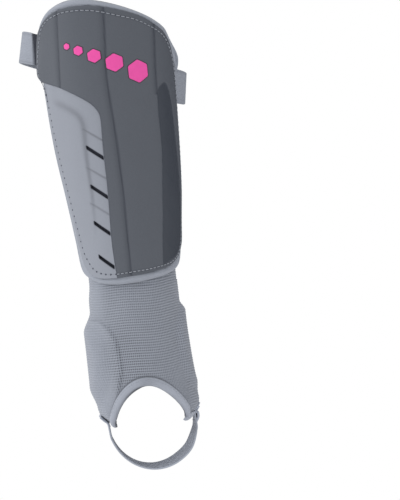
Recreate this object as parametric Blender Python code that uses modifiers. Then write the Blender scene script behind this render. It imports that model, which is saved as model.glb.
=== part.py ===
"""Football shin guard for the left leg.

A hard shell in two parts lies on a foam pad. A knit sleeve hangs below the pad, with a strap
under the foot, and an elastic strap goes round the calf. Metres, +Z up. The front faces -Y.
The origin is on the leg's axis, level with the middle of the pad.
"""
import math
from collections import namedtuple

import bmesh
import bpy
from mathutils import Vector

# The leg that the guard is shaped round, at the middle of the pad
LEG_SIDE = 0.0390
LEG_FRONT = 0.0405
LEG_BACK = 0.0500
CALF_FLARE = 0.0235
FLARE_START = 80.0
FLARE_END = 125.0

# Pad and shell
PAD_HEIGHT = 0.2211
PAD_THICKNESS = 0.0050
PAD_RIM = 0.0056
SHELL_THICKNESS = 0.0022
PANEL_THICKNESS = 0.0018
SEAM_WIDTH = 0.0005

# Slots in the vent panel
SLOT_COUNT = 4
SLOT_HEIGHT = 0.0028
SLOT_REACH = 0.0135
SLOT_DROP = 0.0098
SLOT_MARGIN = 0.0012
SLOT_TOP = -0.0013
SLOT_PITCH = 0.0301
SLOT_PITCH_RATIO = 0.93

# Sleeve round the ankle
SLEEVE_THICKNESS = 0.0018
SLEEVE_TUCK = 0.0250
SLEEVE_DROP = 0.1075
INSTEP_ARCH_RISE = 0.0345
HEEL_ARCH_RISE = 0.0275
ARCH_HALF_TURN = 66.0
ARCH_FULLNESS = 1.2
HEEL_ARCH_TURN = 174.0
BINDING_RADIUS = 0.0027
BINDING_GAP = 0.0006
BINDING_HALF_TURN = 64.0

# Padded ankle discs, which the sleeve bulges over
INNER_ANKLE_BULGE = 0.0068
OUTER_ANKLE_BULGE = 0.0038
ANKLE_PAD_WIDTH = 0.0620
ANKLE_PAD_HEIGHT = 0.0760
ANKLE_PAD_DROP = 0.0570
ANKLE_PAD_FLAT = 0.55

# Straps
CALF_STRAP_WIDTH = 0.0250
CALF_STRAP_THICKNESS = 0.0018
CALF_STRAP_HEIGHT = 0.0574
CALF_STRAP_SLOPE = 0.38
CALF_STRAP_TUCK_TURN = 66.0
CALF_STRAP_LEAN = 0.25
CALF_STRAP_SHIFT = 0.0010
CALF_STRAP_HELD_TURN = 88.0
CALF_STRAP_FREE_TURN = 106.0
POCKET_TURN = 100.0
STIRRUP_WIDTH = 0.0200
STIRRUP_THICKNESS = 0.0020
STIRRUP_SEAM = 0.0070
STIRRUP_CLEARANCE = 0.0009
STIRRUP_DEPTH = 0.0396
STIRRUP_TWIST = 16.0
STIRRUP_TWIST_SKEW = 1.6

# Clearance between pieces that touch, and how finely bent pieces are divided
GAP = 0.0003
BEND_TURN = 8.0
STRAP_BEND_TURN = 5.0
BEND_HEIGHT = 0.0150
CHART_RADIUS = 0.0450
EDGE_STEPS = 3
TURN_STEP = 0.1
SLEEVE_SIDES = 60
SLEEVE_ROWS = 9
SLEEVE_HEM_ROWS = 4
STIRRUP_STATIONS = 36
BINDING_STATIONS = 36
SEAM_STATIONS = 2
SHARP_ANGLE = 40.0

# Layers, measured outwards from the leg
PAD_INNER = SLEEVE_THICKNESS + GAP
PAD_OUTER = PAD_INNER + PAD_THICKNESS
SHELL_INNER = PAD_OUTER + GAP
SHELL_OUTER = SHELL_INNER + SHELL_THICKNESS
STRAP_OUTER = PAD_OUTER - GAP
STRAP_INNER = STRAP_OUTER - CALF_STRAP_THICKNESS
STRAP_MIDDLE = (STRAP_OUTER + STRAP_INNER) / 2

PAD_FOOT = -PAD_HEIGHT / 2
SHELL_HALF = PAD_HEIGHT / 2 - PAD_RIM
LOBE_FOOT = PAD_FOOT - SLEEVE_DROP

# Sections of the leg. Level 1 is the pad's top, 0 its foot and -1 the sleeve's lowest edge.
# The other columns are shares of LEG_SIDE (shift too), LEG_FRONT, LEG_BACK and CALF_FLARE.
LegRow = namedtuple("LegRow", "level shift side front back flare")
LEG_ROWS = (
    LegRow(1.00, 0.00, 1.14, 1.05, 1.20, 0.78),
    LegRow(0.77, 0.00, 1.12, 1.04, 1.16, 0.94),
    LegRow(0.50, -0.012, 1.04, 1.00, 1.00, 0.72),
    LegRow(0.31, -0.004, 0.945, 0.95, 0.90, 0.33),
    LegRow(0.15, -0.021, 0.852, 0.90, 0.82, 0.10),
    LegRow(0.02, -0.035, 0.835, 0.88, 0.80, 0.00),
    LegRow(-0.12, -0.065, 0.860, 0.89, 0.80, 0.00),
    LegRow(-0.40, -0.067, 0.86, 0.94, 0.82, 0.00),
    LegRow(-0.70, -0.06, 0.885, 1.05, 0.88, 0.00),
    LegRow(-0.92, -0.03, 0.92, 1.10, 0.90, 0.00),
    LegRow(-1.00, -0.02, 0.785, 1.10, 0.90, 0.00),
    LegRow(-1.10, -0.02, 0.70, 1.10, 0.90, 0.00),
)

# Edges as the turn from the front, in degrees, and the height as a share of half the piece
EdgeRow = namedtuple("EdgeRow", "turn level")
PAD_EDGE = (
    EdgeRow(-86, 0.62), EdgeRow(-80, 0.78), EdgeRow(-68, 0.88), EdgeRow(-51, 0.96),
    EdgeRow(-28, 1.00), EdgeRow(-3, 0.967), EdgeRow(28, 0.88), EdgeRow(52, 0.795),
    EdgeRow(70, 0.72), EdgeRow(83, 0.62), EdgeRow(88, 0.42), EdgeRow(88, 0.00),
    EdgeRow(87, -0.50), EdgeRow(83, -0.78), EdgeRow(66, -0.92), EdgeRow(45, -0.972),
    EdgeRow(0, -1.00), EdgeRow(-33, -0.995), EdgeRow(-57, -0.96), EdgeRow(-79, -0.885),
    EdgeRow(-88, -0.72), EdgeRow(-90, -0.30), EdgeRow(-90, 0.20),
)
PLATE_EDGE = (
    EdgeRow(-80, 0.52), EdgeRow(-83, 0.64), EdgeRow(-75, 0.82), EdgeRow(-62, 0.915),
    EdgeRow(-46, 0.98), EdgeRow(-27, 1.00), EdgeRow(-3, 0.972), EdgeRow(26, 0.893),
    EdgeRow(48, 0.81), EdgeRow(64, 0.74), EdgeRow(77, 0.62), EdgeRow(83, 0.43),
    EdgeRow(84, 0.00), EdgeRow(83, -0.45), EdgeRow(79, -0.74), EdgeRow(64, -0.87),
    EdgeRow(48, -0.943), EdgeRow(30, -0.98), EdgeRow(0, -0.993), EdgeRow(-20.5, -1.00),
)
PANEL_EDGE = (
    EdgeRow(-21.5, -1.00), EdgeRow(-38, -0.993), EdgeRow(-52, -0.96), EdgeRow(-63, -0.885),
    EdgeRow(-69, -0.74), EdgeRow(-70.5, -0.55), EdgeRow(-72.5, -0.20), EdgeRow(-75, 0.10),
    EdgeRow(-76.5, 0.35), EdgeRow(-75.5, 0.48),
)
SEAM = (
    EdgeRow(-75, 0.492), EdgeRow(-54, 0.439), EdgeRow(-39.5, 0.381), EdgeRow(-26.5, 0.312),
    EdgeRow(-20, 0.262), EdgeRow(-16.5, 0.213), EdgeRow(-15.5, 0.157), EdgeRow(-16, 0.073),
    EdgeRow(-17, -0.055), EdgeRow(-19, -0.345), EdgeRow(-22, -0.68), EdgeRow(-22, -0.89),
    EdgeRow(-21, -1.00),
)


def clear_scene():
    """Remove what is in the scene."""
    for obj in list(bpy.data.objects):
        bpy.data.objects.remove(obj)


def smooth_step(share):
    """Rise softly from 0 to 1."""
    share = min(max(share, 0.0), 1.0)
    return share * share * (3 - 2 * share)


def smooth_line(points, steps, closed=False):
    """A Catmull-Rom line through flat points, with some steps between each two."""
    count = len(points)
    spans = count if closed else count - 1
    line = []
    for span in range(spans):
        if closed:
            a, b, c, d = (Vector(points[(span + k) % count]) for k in (-1, 0, 1, 2))
        else:
            a, b, c, d = (Vector(points[min(max(span + k, 0), count - 1)]) for k in (-1, 0, 1, 2))
        for step in range(steps):
            t = step / steps
            line.append(0.5 * (2 * b + (c - a) * t + (2 * a - 5 * b + 4 * c - d) * t ** 2
                               + (3 * b - 3 * c + d - a) * t ** 3))
    if not closed:
        line.append(Vector(points[-1]))
    return line


def leg_section(height):
    """The leg's five sizes at a height, eased between the rows of LEG_ROWS."""
    span = PAD_HEIGHT if height > PAD_FOOT else SLEEVE_DROP
    level = min(max((height - PAD_FOOT) / span, LEG_ROWS[-1].level), LEG_ROWS[0].level)
    last = len(LEG_ROWS) - 1
    low = next(i for i in range(1, last + 1) if LEG_ROWS[i].level <= level)
    rows = [LEG_ROWS[min(max(i, 0), last)] for i in (low + 1, low, low - 1, low - 2)]
    before, lower, upper, after = rows
    step = upper.level - lower.level
    t = (level - lower.level) / step
    values = []
    for column in range(1, 6):
        start, end = lower[column], upper[column]
        slope_in = (end - before[column]) / (upper.level - before.level) * step
        slope_out = (after[column] - start) / (after.level - lower.level) * step
        values.append(start * (2 * t ** 3 - 3 * t ** 2 + 1) + slope_in * (t ** 3 - 2 * t ** 2 + t)
                      + end * (3 * t ** 2 - 2 * t ** 3) + slope_out * (t ** 3 - t ** 2))
    shift, side, front, back, flare = values
    return shift * LEG_SIDE, side * LEG_SIDE, front * LEG_FRONT, back * LEG_BACK, flare * CALF_FLARE


def leg_point(turn, height, offset):
    """The point a distance off the leg, turned in degrees from the front towards +X."""
    shift, side, front, back, flare = leg_section(height)

    def plan(angle):
        angle = (angle + 180) % 360 - 180
        share = (abs(angle) - FLARE_START) / (FLARE_END - FLARE_START)
        spread = side + flare * smooth_step(share)
        depth = front if abs(angle) < 90 else back
        return Vector((shift + spread * math.sin(math.radians(angle)),
                       -depth * math.cos(math.radians(angle))))

    along = (plan(turn + TURN_STEP) - plan(turn - TURN_STEP)).normalized()
    point = plan(turn) + Vector((along.y, -along.x)) * offset
    return Vector((point.x, point.y, height))


def ankle_bulge(turn, height):
    """How far the ankle discs push the sleeve out."""
    across = (abs(turn) - 90) * math.radians(1) * LEG_SIDE / (ANKLE_PAD_WIDTH / 2)
    along = (height - PAD_FOOT + ANKLE_PAD_DROP) / (ANKLE_PAD_HEIGHT / 2)
    share = (1 - math.hypot(across, along)) / (1 - ANKLE_PAD_FLAT)
    return (INNER_ANKLE_BULGE if turn < 0 else OUTER_ANKLE_BULGE) * smooth_step(share)


def arch_height(turn):
    """The sleeve's lower edge: an arch over the instep, one over the heel, a lobe each side."""
    away, rise = abs(turn), INSTEP_ARCH_RISE
    if away > 90:
        away, rise = abs((turn - HEEL_ARCH_TURN + 180) % 360 - 180), HEEL_ARCH_RISE
    share = min(away / ARCH_HALF_TURN, 1.0)
    return LOBE_FOOT + rise * (1 - share ** 2) ** ARCH_FULLNESS


def add_object(name, mesh, collection, color, roughness):
    """Put a mesh in the scene as an object with a material of its own."""
    obj = bpy.data.objects.new(name, mesh)
    material = bpy.data.materials.new(name)
    material.use_nodes = True
    shader = material.node_tree.nodes["Principled BSDF"]
    shader.inputs["Base Color"].default_value = (*color, 1)
    shader.inputs["Roughness"].default_value = roughness
    mesh.materials.clear()
    mesh.materials.append(material)
    mesh.shade_smooth()
    mesh.set_sharp_from_angle(angle=math.radians(SHARP_ANGLE))
    collection.objects.link(obj)
    return obj


def flat_mesh(name, outlines):
    """A flat plate, 2 units thick, cut to outlines of turns and heights."""
    curve = bpy.data.curves.new(name, "CURVE")
    curve.dimensions = "2D"
    curve.fill_mode = "BOTH"
    curve.extrude = 1.0
    for outline in outlines:
        spline = curve.splines.new("POLY")
        spline.points.add(len(outline) - 1)
        spline.use_cyclic_u = True
        for point, (turn, height) in zip(spline.points, outline):
            point.co = (math.radians(turn) * CHART_RADIUS, height, 0, 1)
    flat = bpy.data.objects.new(name, curve)
    bpy.context.scene.collection.objects.link(flat)
    graph = bpy.context.evaluated_depsgraph_get()
    mesh = bpy.data.meshes.new_from_object(flat.evaluated_get(graph))
    bpy.data.objects.remove(flat)
    return mesh


def bent_sheet(name, outlines, inner, outer, bend_turn=BEND_TURN, place=leg_point):
    """A sheet cut flat to its outlines and bent round the leg, between two distances off it."""
    mesh = flat_mesh(name, outlines)
    shape = bmesh.new()
    shape.from_mesh(mesh)
    bmesh.ops.remove_doubles(shape, verts=shape.verts[:], dist=1e-6)
    bmesh.ops.recalc_face_normals(shape, faces=shape.faces[:])
    bmesh.ops.dissolve_limit(shape, angle_limit=math.radians(0.1), verts=shape.verts[:],
                             edges=shape.edges[:])
    turn_step = math.radians(bend_turn) * CHART_RADIUS
    for axis, step in ((Vector((1, 0, 0)), turn_step), (Vector((0, 1, 0)), BEND_HEIGHT)):
        places = [vert.co.dot(axis) for vert in shape.verts]
        for k in range(math.ceil(min(places) / step), math.floor(max(places) / step) + 1):
            everything = shape.verts[:] + shape.edges[:] + shape.faces[:]
            bmesh.ops.bisect_plane(shape, geom=everything, dist=1e-6, plane_co=axis * k * step,
                                   plane_no=axis)
    bmesh.ops.triangulate(shape, faces=[face for face in shape.faces if len(face.verts) > 4])
    for vert in shape.verts:
        offset = inner + (outer - inner) * (vert.co.z + 1) / 2
        vert.co = place(math.degrees(vert.co.x / CHART_RADIUS), vert.co.y, offset)
    shape.to_mesh(mesh)
    shape.free()
    return mesh


def edge_points(rows, half_height):
    """An edge table as turns and heights."""
    return [(row.turn, row.level * half_height) for row in rows]


def seam_points(side):
    """The seam between plate and panel, moved half its width to one side."""
    line = smooth_line(edge_points(SEAM, SHELL_HALF), EDGE_STEPS)
    unit = math.radians(1) * CHART_RADIUS
    moved = []
    for k, point in enumerate(line):
        after = line[min(k + 1, len(line) - 1)]
        before = line[max(k - 1, 0)]
        along = Vector(((after.x - before.x) * unit, after.y - before.y)).normalized()
        shift = Vector((-along.y / unit, along.x)) * side * SEAM_WIDTH / 2
        moved.append(point + shift)
    return moved


def slot_outline(index):
    """A slanted slot beside the seam, as a parallelogram of turns and heights."""
    head = SLOT_TOP - sum(SLOT_PITCH * SLOT_PITCH_RATIO ** k for k in range(index))
    foot = head - SLOT_DROP
    seam = min(seam_points(-1), key=lambda point: abs(point.y - foot)).x
    section = leg_section(foot)
    radius = (section[1] + section[2]) / 2 + SHELL_OUTER
    foot_turn = seam - math.degrees(SLOT_MARGIN / radius)
    head_turn = foot_turn - math.degrees(SLOT_REACH / radius)
    return [(head_turn, head), (head_turn, head - SLOT_HEIGHT),
            (foot_turn, foot - SLOT_HEIGHT), (foot_turn, foot)]


def make_shell(collection):
    """The dark plate over the shin and the light panel beside it, with its slots."""
    plate_edge = smooth_line(edge_points(PLATE_EDGE, SHELL_HALF), EDGE_STEPS)
    plate = bent_sheet("front_plate", [plate_edge + seam_points(1)[::-1]],
                       SHELL_INNER, SHELL_OUTER)
    add_object("front_plate", plate, collection, (0.10, 0.11, 0.13), 0.35)
    panel_edge = smooth_line(edge_points(PANEL_EDGE, SHELL_HALF), EDGE_STEPS)
    slots = [slot_outline(index) for index in range(SLOT_COUNT)]
    panel = bent_sheet("vent_panel", [panel_edge + seam_points(-1), *slots],
                       SHELL_INNER, SHELL_INNER + PANEL_THICKNESS)
    add_object("vent_panel", panel, collection, (0.36, 0.38, 0.42), 0.45)


def strap_height(turn):
    """The height of the calf strap's middle at a turn."""
    across = leg_point(turn, CALF_STRAP_HEIGHT, STRAP_OUTER).x
    return CALF_STRAP_HEIGHT - CALF_STRAP_SLOPE * across


def strap_band(first_turn, last_turn, margin):
    """The calf strap's band between two turns, widened by a margin."""
    steps = math.ceil((last_turn - first_turn) / STRAP_BEND_TURN)
    turns = [first_turn + (last_turn - first_turn) * k / steps for k in range(steps + 1)]
    half = CALF_STRAP_WIDTH / 2 + margin
    upper = [(turn, strap_height(turn) + half) for turn in turns]
    lower = [(turn, strap_height(turn) - half) for turn in turns]
    return lower + upper[::-1]


def strap_point(turn, height, offset):
    """A point of the calf strap, which follows the pad and then leans with its own slope."""
    away = abs((turn + 180) % 360 - 180)
    held = (away - CALF_STRAP_HELD_TURN) / (CALF_STRAP_FREE_TURN - CALF_STRAP_HELD_TURN)
    middle = strap_height(turn)
    centre = leg_point(turn, middle, STRAP_MIDDLE)
    outward = (leg_point(turn, middle, STRAP_OUTER) - centre).normalized()
    lean = Vector((CALF_STRAP_LEAN, 0, 1)).normalized()
    outward = (outward - lean * outward.dot(lean)).normalized()
    free = centre + lean * (height - middle) + outward * (offset - STRAP_MIDDLE)
    free.x += CALF_STRAP_SHIFT
    return leg_point(turn, height, offset).lerp(free, smooth_step(held))


def make_calf_strap(collection):
    """The elastic strap round the calf, with both ends between the pad and the shell."""
    band = strap_band(CALF_STRAP_TUCK_TURN, 360 - CALF_STRAP_TUCK_TURN, 0)
    mesh = bent_sheet("calf_strap", [band], STRAP_INNER, STRAP_OUTER, STRAP_BEND_TURN,
                      strap_point)
    add_object("calf_strap", mesh, collection, (0.22, 0.24, 0.27), 0.8)


def make_pad(collection, cutters):
    """The foam pad behind the shell, with a shallow pocket for each end of the calf strap."""
    edge = smooth_line(edge_points(PAD_EDGE, PAD_HEIGHT / 2), EDGE_STEPS, closed=True)
    mesh = bent_sheet("foam_pad", [edge], PAD_INNER, PAD_OUTER)
    pad = add_object("foam_pad", mesh, collection, (0.26, 0.28, 0.32), 0.9)
    end_gap = math.degrees(GAP / LEG_SIDE)
    spans = {
        "right": (CALF_STRAP_TUCK_TURN - end_gap, POCKET_TURN),
        "left": (-POCKET_TURN, end_gap - CALF_STRAP_TUCK_TURN),
    }
    for side, (first, last) in spans.items():
        band = strap_band(first, last, GAP)
        pocket = bent_sheet("pocket_" + side, [band], STRAP_INNER - GAP, SHELL_OUTER)
        cutter = add_object("pocket_" + side, pocket, cutters, (1, 0, 0), 0.5)
        cutter.hide_render = True
        cutter.display_type = "WIRE"
        cut = pad.modifiers.new("pocket_" + side, "BOOLEAN")
        cut.operation = "DIFFERENCE"
        cut.object = cutter


def make_sleeve(collection):
    """The knit sleeve: an open tube, bulged at the ankles and arched at its lower edge."""
    top = PAD_FOOT + SLEEVE_TUCK
    hem = LOBE_FOOT + INSTEP_ARCH_RISE + BINDING_RADIUS
    rows = SLEEVE_ROWS + SLEEVE_HEM_ROWS
    shape = bmesh.new()
    bmesh.ops.create_cone(shape, cap_ends=False, segments=SLEEVE_SIDES, radius1=1, radius2=1,
                          depth=rows)
    for row in range(1, rows):
        everything = shape.verts[:] + shape.edges[:] + shape.faces[:]
        bmesh.ops.bisect_plane(shape, geom=everything, dist=1e-6,
                               plane_co=(0, 0, row - rows / 2), plane_no=(0, 0, 1))
    for vert in shape.verts:
        turn = math.degrees(math.atan2(vert.co.x, -vert.co.y))
        row = rows / 2 - vert.co.z
        if row < SLEEVE_ROWS:
            height = top + (hem - top) * row / SLEEVE_ROWS
        else:
            height = hem + (arch_height(turn) - hem) * (row - SLEEVE_ROWS) / SLEEVE_HEM_ROWS
        vert.co = leg_point(turn, height, ankle_bulge(turn, height))
    mesh = bpy.data.meshes.new("ankle_sleeve")
    shape.to_mesh(mesh)
    shape.free()
    sleeve = add_object("ankle_sleeve", mesh, collection, (0.26, 0.28, 0.32), 0.9)
    wall = sleeve.modifiers.new("wall", "SOLIDIFY")
    wall.thickness = SLEEVE_THICKNESS
    wall.offset = 1
    wall.use_even_offset = True


def binding_point(turn, middle):
    """A point on the binding's centre line, just below the sleeve's arched edge."""

    def rim(away):
        there = middle + away
        there = (there + 180) % 360 - 180
        height = arch_height(there)
        return leg_point(there, height, SLEEVE_THICKNESS / 2 + ankle_bulge(there, height))

    along = (rim(turn + TURN_STEP) - rim(turn - TURN_STEP)).normalized()
    there = (middle + turn + 180) % 360 - 180
    height = arch_height(there)
    outward = (leg_point(there, height, SLEEVE_THICKNESS) - leg_point(there, height, 0)).normalized()
    return rim(turn) + along.cross(outward).normalized() * (BINDING_RADIUS + BINDING_GAP)


def make_binding(name, middle, collection):
    """The rolled tape on one arch of the sleeve."""
    curve = bpy.data.curves.new(name, "CURVE")
    curve.dimensions = "3D"
    curve.bevel_depth = BINDING_RADIUS
    curve.bevel_resolution = 2
    curve.use_fill_caps = True
    spline = curve.splines.new("POLY")
    spline.points.add(BINDING_STATIONS)
    for k, point in enumerate(spline.points):
        turn = BINDING_HALF_TURN * (2 * k / BINDING_STATIONS - 1)
        point.co = (*binding_point(turn, middle), 1)
    tube = bpy.data.objects.new(name, curve)
    bpy.context.scene.collection.objects.link(tube)
    graph = bpy.context.evaluated_depsgraph_get()
    mesh = bpy.data.meshes.new_from_object(tube.evaluated_get(graph))
    bpy.data.objects.remove(tube)
    shape = bmesh.new()
    shape.from_mesh(mesh)
    bmesh.ops.remove_doubles(shape, verts=shape.verts[:], dist=1e-6)
    shape.to_mesh(mesh)
    shape.free()
    add_object(name, mesh, collection, (0.38, 0.40, 0.45), 0.8)


def stirrup_line():
    """The stirrup's centre line: down each lobe's outer face and in a half round under the foot."""
    offset = SLEEVE_THICKNESS + STIRRUP_CLEARANCE + STIRRUP_THICKNESS / 2
    seam_top = LOBE_FOOT + STIRRUP_SEAM

    def seam(side, height):
        return leg_point(side * 90, height, offset + ankle_bulge(side * 90, height))

    left, right = seam(-1, LOBE_FOOT), seam(1, LOBE_FOOT)
    middle, half = (left + right) / 2, (right.x - left.x) / 2
    heights = [seam_top - STIRRUP_SEAM * k / SEAM_STATIONS for k in range(SEAM_STATIONS)]
    line = [seam(-1, height) for height in heights]
    for k in range(STIRRUP_STATIONS + 1):
        angle = math.pi * k / STIRRUP_STATIONS
        line.append(middle - Vector((half * math.cos(angle), 0, STIRRUP_DEPTH * math.sin(angle))))
    return line + [seam(1, height) for height in reversed(heights)]


def make_stirrup(collection):
    """The elastic strap under the foot, a ribbon that twists a little on its right."""
    line = stirrup_line()
    last = len(line) - 1
    shape = bmesh.new()
    bmesh.ops.create_grid(shape, x_segments=last, y_segments=2, size=1)
    for vert in shape.verts:
        k = round((vert.co.x + 1) / 2 * last)
        along = (line[min(k + 1, last)] - line[max(k - 1, 0)]).normalized()
        inward = Vector((0, 1, 0)).cross(along) * -1
        share = min(max((k - SEAM_STATIONS) / (last - 2 * SEAM_STATIONS), 0), 1)
        turned = math.sin(math.pi * share ** STIRRUP_TWIST_SKEW) ** 2
        twist = math.radians(STIRRUP_TWIST) * turned
        across = Vector((0, math.cos(twist), 0)) + inward * math.sin(twist)
        vert.co = line[k] + across * vert.co.y * STIRRUP_WIDTH / 2
    mesh = bpy.data.meshes.new("stirrup_strap")
    shape.to_mesh(mesh)
    shape.free()
    strap = add_object("stirrup_strap", mesh, collection, (0.36, 0.38, 0.42), 0.8)
    wall = strap.modifiers.new("wall", "SOLIDIFY")
    wall.thickness = STIRRUP_THICKNESS
    wall.offset = 0


def main():
    clear_scene()
    guard = bpy.data.collections.new("shin_guard")
    cutters = bpy.data.collections.new("cutters")
    for collection in (guard, cutters):
        bpy.context.scene.collection.children.link(collection)
    make_shell(guard)
    make_pad(guard, cutters)
    make_calf_strap(guard)
    make_sleeve(guard)
    make_binding("instep_binding", 0, guard)
    make_binding("heel_binding", HEEL_ARCH_TURN, guard)
    make_stirrup(guard)


main()
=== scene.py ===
"""The looks of the football shin guard.

Every piece is made in code round the same leg form as the solids, with finer meshes and
procedural materials. Metres, +Z up, the front faces -Y.
"""
import math

import bmesh
import bpy
import numpy as np
from mathutils import Matrix, Vector


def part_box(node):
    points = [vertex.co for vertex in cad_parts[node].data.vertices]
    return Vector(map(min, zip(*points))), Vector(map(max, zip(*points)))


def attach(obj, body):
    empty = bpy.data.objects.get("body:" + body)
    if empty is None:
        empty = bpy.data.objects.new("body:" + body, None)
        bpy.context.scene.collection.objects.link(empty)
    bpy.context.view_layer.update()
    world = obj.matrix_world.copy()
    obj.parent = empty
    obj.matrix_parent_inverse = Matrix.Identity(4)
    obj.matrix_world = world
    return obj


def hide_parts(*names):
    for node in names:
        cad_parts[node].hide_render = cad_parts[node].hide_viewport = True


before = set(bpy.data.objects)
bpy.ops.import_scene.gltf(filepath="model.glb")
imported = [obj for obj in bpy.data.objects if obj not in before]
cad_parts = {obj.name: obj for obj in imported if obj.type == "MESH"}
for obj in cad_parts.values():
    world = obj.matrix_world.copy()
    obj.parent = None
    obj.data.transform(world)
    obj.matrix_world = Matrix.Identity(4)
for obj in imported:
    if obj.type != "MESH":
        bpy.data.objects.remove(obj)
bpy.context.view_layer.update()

# Sizes that the frame gives
PAD_LOW, PAD_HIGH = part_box("foam_pad")
SLEEVE_LOW, SLEEVE_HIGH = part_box("ankle_sleeve")
PAD_HEIGHT = PAD_HIGH[2] - PAD_LOW[2]
PAD_FOOT = PAD_LOW[2]
PAD_HALF = PAD_HEIGHT / 2
SLEEVE_TOP = SLEEVE_HIGH[2]
LOBE_FOOT = SLEEVE_LOW[2]
SLEEVE_DROP = PAD_FOOT - LOBE_FOOT

# The leg form and the layers on it, as the solids have them
LEG_SIDE = 0.0390
LEG_FRONT = 0.0405
LEG_BACK = 0.0500
CALF_FLARE = 0.0235
FLARE_START = 80.0
FLARE_END = 125.0
GAP = 0.0003
PAD_RIM = 0.0056
SLEEVE_WALL = 0.0018
PAD_INNER = SLEEVE_WALL + GAP
PAD_OUTER = PAD_INNER + 0.0050
SHELL_INNER = PAD_OUTER + GAP
SHELL_OUTER = SHELL_INNER + 0.0022
STRAP_OUTER = PAD_OUTER - GAP
STRAP_WALL = 0.0018
SHELL_HALF = PAD_HALF - PAD_RIM
CHART_RADIUS = 0.0500

# Each row: its height, then the shift, side, front, back and flare as shares
LEG_ROWS = (
    (1, 0, 1.14, 1.05, 1.2, 0.78),
    (0.77, 0, 1.12, 1.04, 1.16, 0.94),
    (0.5, -0.012, 1.04, 1, 1, 0.72),
    (0.31, -0.004, 0.945, 0.95, 0.9, 0.33),
    (0.15, -0.021, 0.852, 0.9, 0.82, 0.1),
    (0.02, -0.035, 0.835, 0.88, 0.8, 0),
    (-0.12, -0.065, 0.86, 0.89, 0.8, 0),
    (-0.4, -0.067, 0.86, 0.94, 0.82, 0),
    (-0.7, -0.06, 0.885, 1.05, 0.88, 0),
    (-0.92, -0.03, 0.92, 1.1, 0.9, 0),
    (-1, -0.02, 0.785, 1.1, 0.9, 0),
    (-1.1, -0.02, 0.7, 1.1, 0.9, 0),
)

# Edges as the turn from the front, in degrees, and the height as a share of half the piece
PAD_EDGE = (
    (-86, 0.62), (-80, 0.785), (-69, 0.89), (-52, 0.968), (-28, 1), (-3, 0.964), (28, 0.878),
    (52, 0.8), (71, 0.73), (83, 0.63), (88, 0.44), (88, 0), (87, -0.5), (83, -0.78),
    (66, -0.92), (45, -0.972), (0, -1), (-33, -0.995), (-57, -0.96), (-79, -0.885),
    (-88, -0.72), (-90, -0.3), (-90, 0.2),
)
PLATE_EDGE = (
    (-80, 0.52), (-83, 0.64), (-75, 0.82), (-62, 0.915), (-46, 0.98), (-27, 1), (-3, 0.972),
    (26, 0.89), (47, 0.8), (61.5, 0.722), (73.5, 0.6), (80, 0.42), (83.5, 0), (83, -0.45),
    (79, -0.74), (64, -0.87), (48, -0.943), (30, -0.98), (0, -0.993), (-20.5, -1),
)
PANEL_EDGE = (
    (-21.5, -1), (-38, -0.993), (-52, -0.96), (-63, -0.885), (-69, -0.74), (-70.5, -0.55),
    (-72.5, -0.2), (-75, 0.1), (-76.5, 0.35), (-75.5, 0.48),
)
SEAM = (
    (-75, 0.492), (-54, 0.439), (-39.5, 0.381), (-26.5, 0.312), (-20, 0.262), (-16.5, 0.213),
    (-15.5, 0.157), (-16, 0.073), (-17, -0.055), (-19, -0.345), (-22, -0.68), (-22, -0.89),
    (-21, -1),
)
SEAM_WIDTH = 0.0001

# Relief of the vent panel: the slots, the step round them and the ribs between them
SLOT_COUNT = 4
SLOT_HEIGHT = 0.0028
SLOT_REACH = 0.0124
SLOT_DROP = 0.0098
SLOT_MARGIN = 0.0007
SLOT_TOP = -0.0013
SLOT_PITCH = 0.0301
SLOT_PITCH_RATIO = 0.93
STEP_LINE = (
    (-66, 0.35), (-58.7, 0.326), (-51.4, 0.299), (-42.5, 0.258), (-35.8, 0.211), (-32.9, 0.162),
    (-32.2, 0.1), (-33.1, -0.005), (-34.1, -0.115), (-34.7, -0.227), (-35.3, -0.338),
    (-36.3, -0.448), (-38, -0.595), (-41, -0.74),
)
STEP_DEPTH = 0.0009
STEP_WIDTH = 0.0030
RIB_RISE = 0.0125
RIB_DEPTH = 0.0004
RIB_STRENGTH = (1, 0.95, 0.85)

# Relief of the front plate: the fold lines and the smooth dark blade at its right
FOLD_LINES = (
    ((-41, 1.05), (-42.5, 0.943), (-44.8, 0.777), (-46.8, 0.632), (-50.5, 0.4)),
    ((-1, 1.05), (-1.7, 0.909), (-3.7, 0.692), (-5.9, 0.476), (-5.4, 0.293), (-4.6, 0.109),
     (-4.1, -0.038), (-4.6, -0.309), (-5.4, -0.625), (-6.4, -1.05)),
    ((46, 0.9), (43.9, 0.753), (41.4, 0.578), (40, 0.432), (39.6, 0.286)),
)
FOLD_DEPTH = 0.00070
FOLD_SOFT = 0.0055
FOLD_SHARP = 0.0011
BLADE = (
    (39.7, 0.3), (39.3, 0.249), (39, 0.14), (39.4, 0.015), (39.3, -0.117), (37.7, -0.263),
    (35.7, -0.408), (34.3, -0.626), (30.2, -0.931), (31, -0.95), (42, -0.925), (54, -0.89),
    (64, -0.825), (71, -0.7), (71, -0.5), (67.5, -0.25), (64.5, -0.05), (62.4, 0.12),
    (59.3, 0.26), (55.3, 0.343), (51.2, 0.374), (46.2, 0.362), (41.5, 0.335),
)
BLADE_DEPTH = 0.0005
LOUVRE_DEPTH = 0.00014
LOUVRE_START = 0.036

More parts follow.
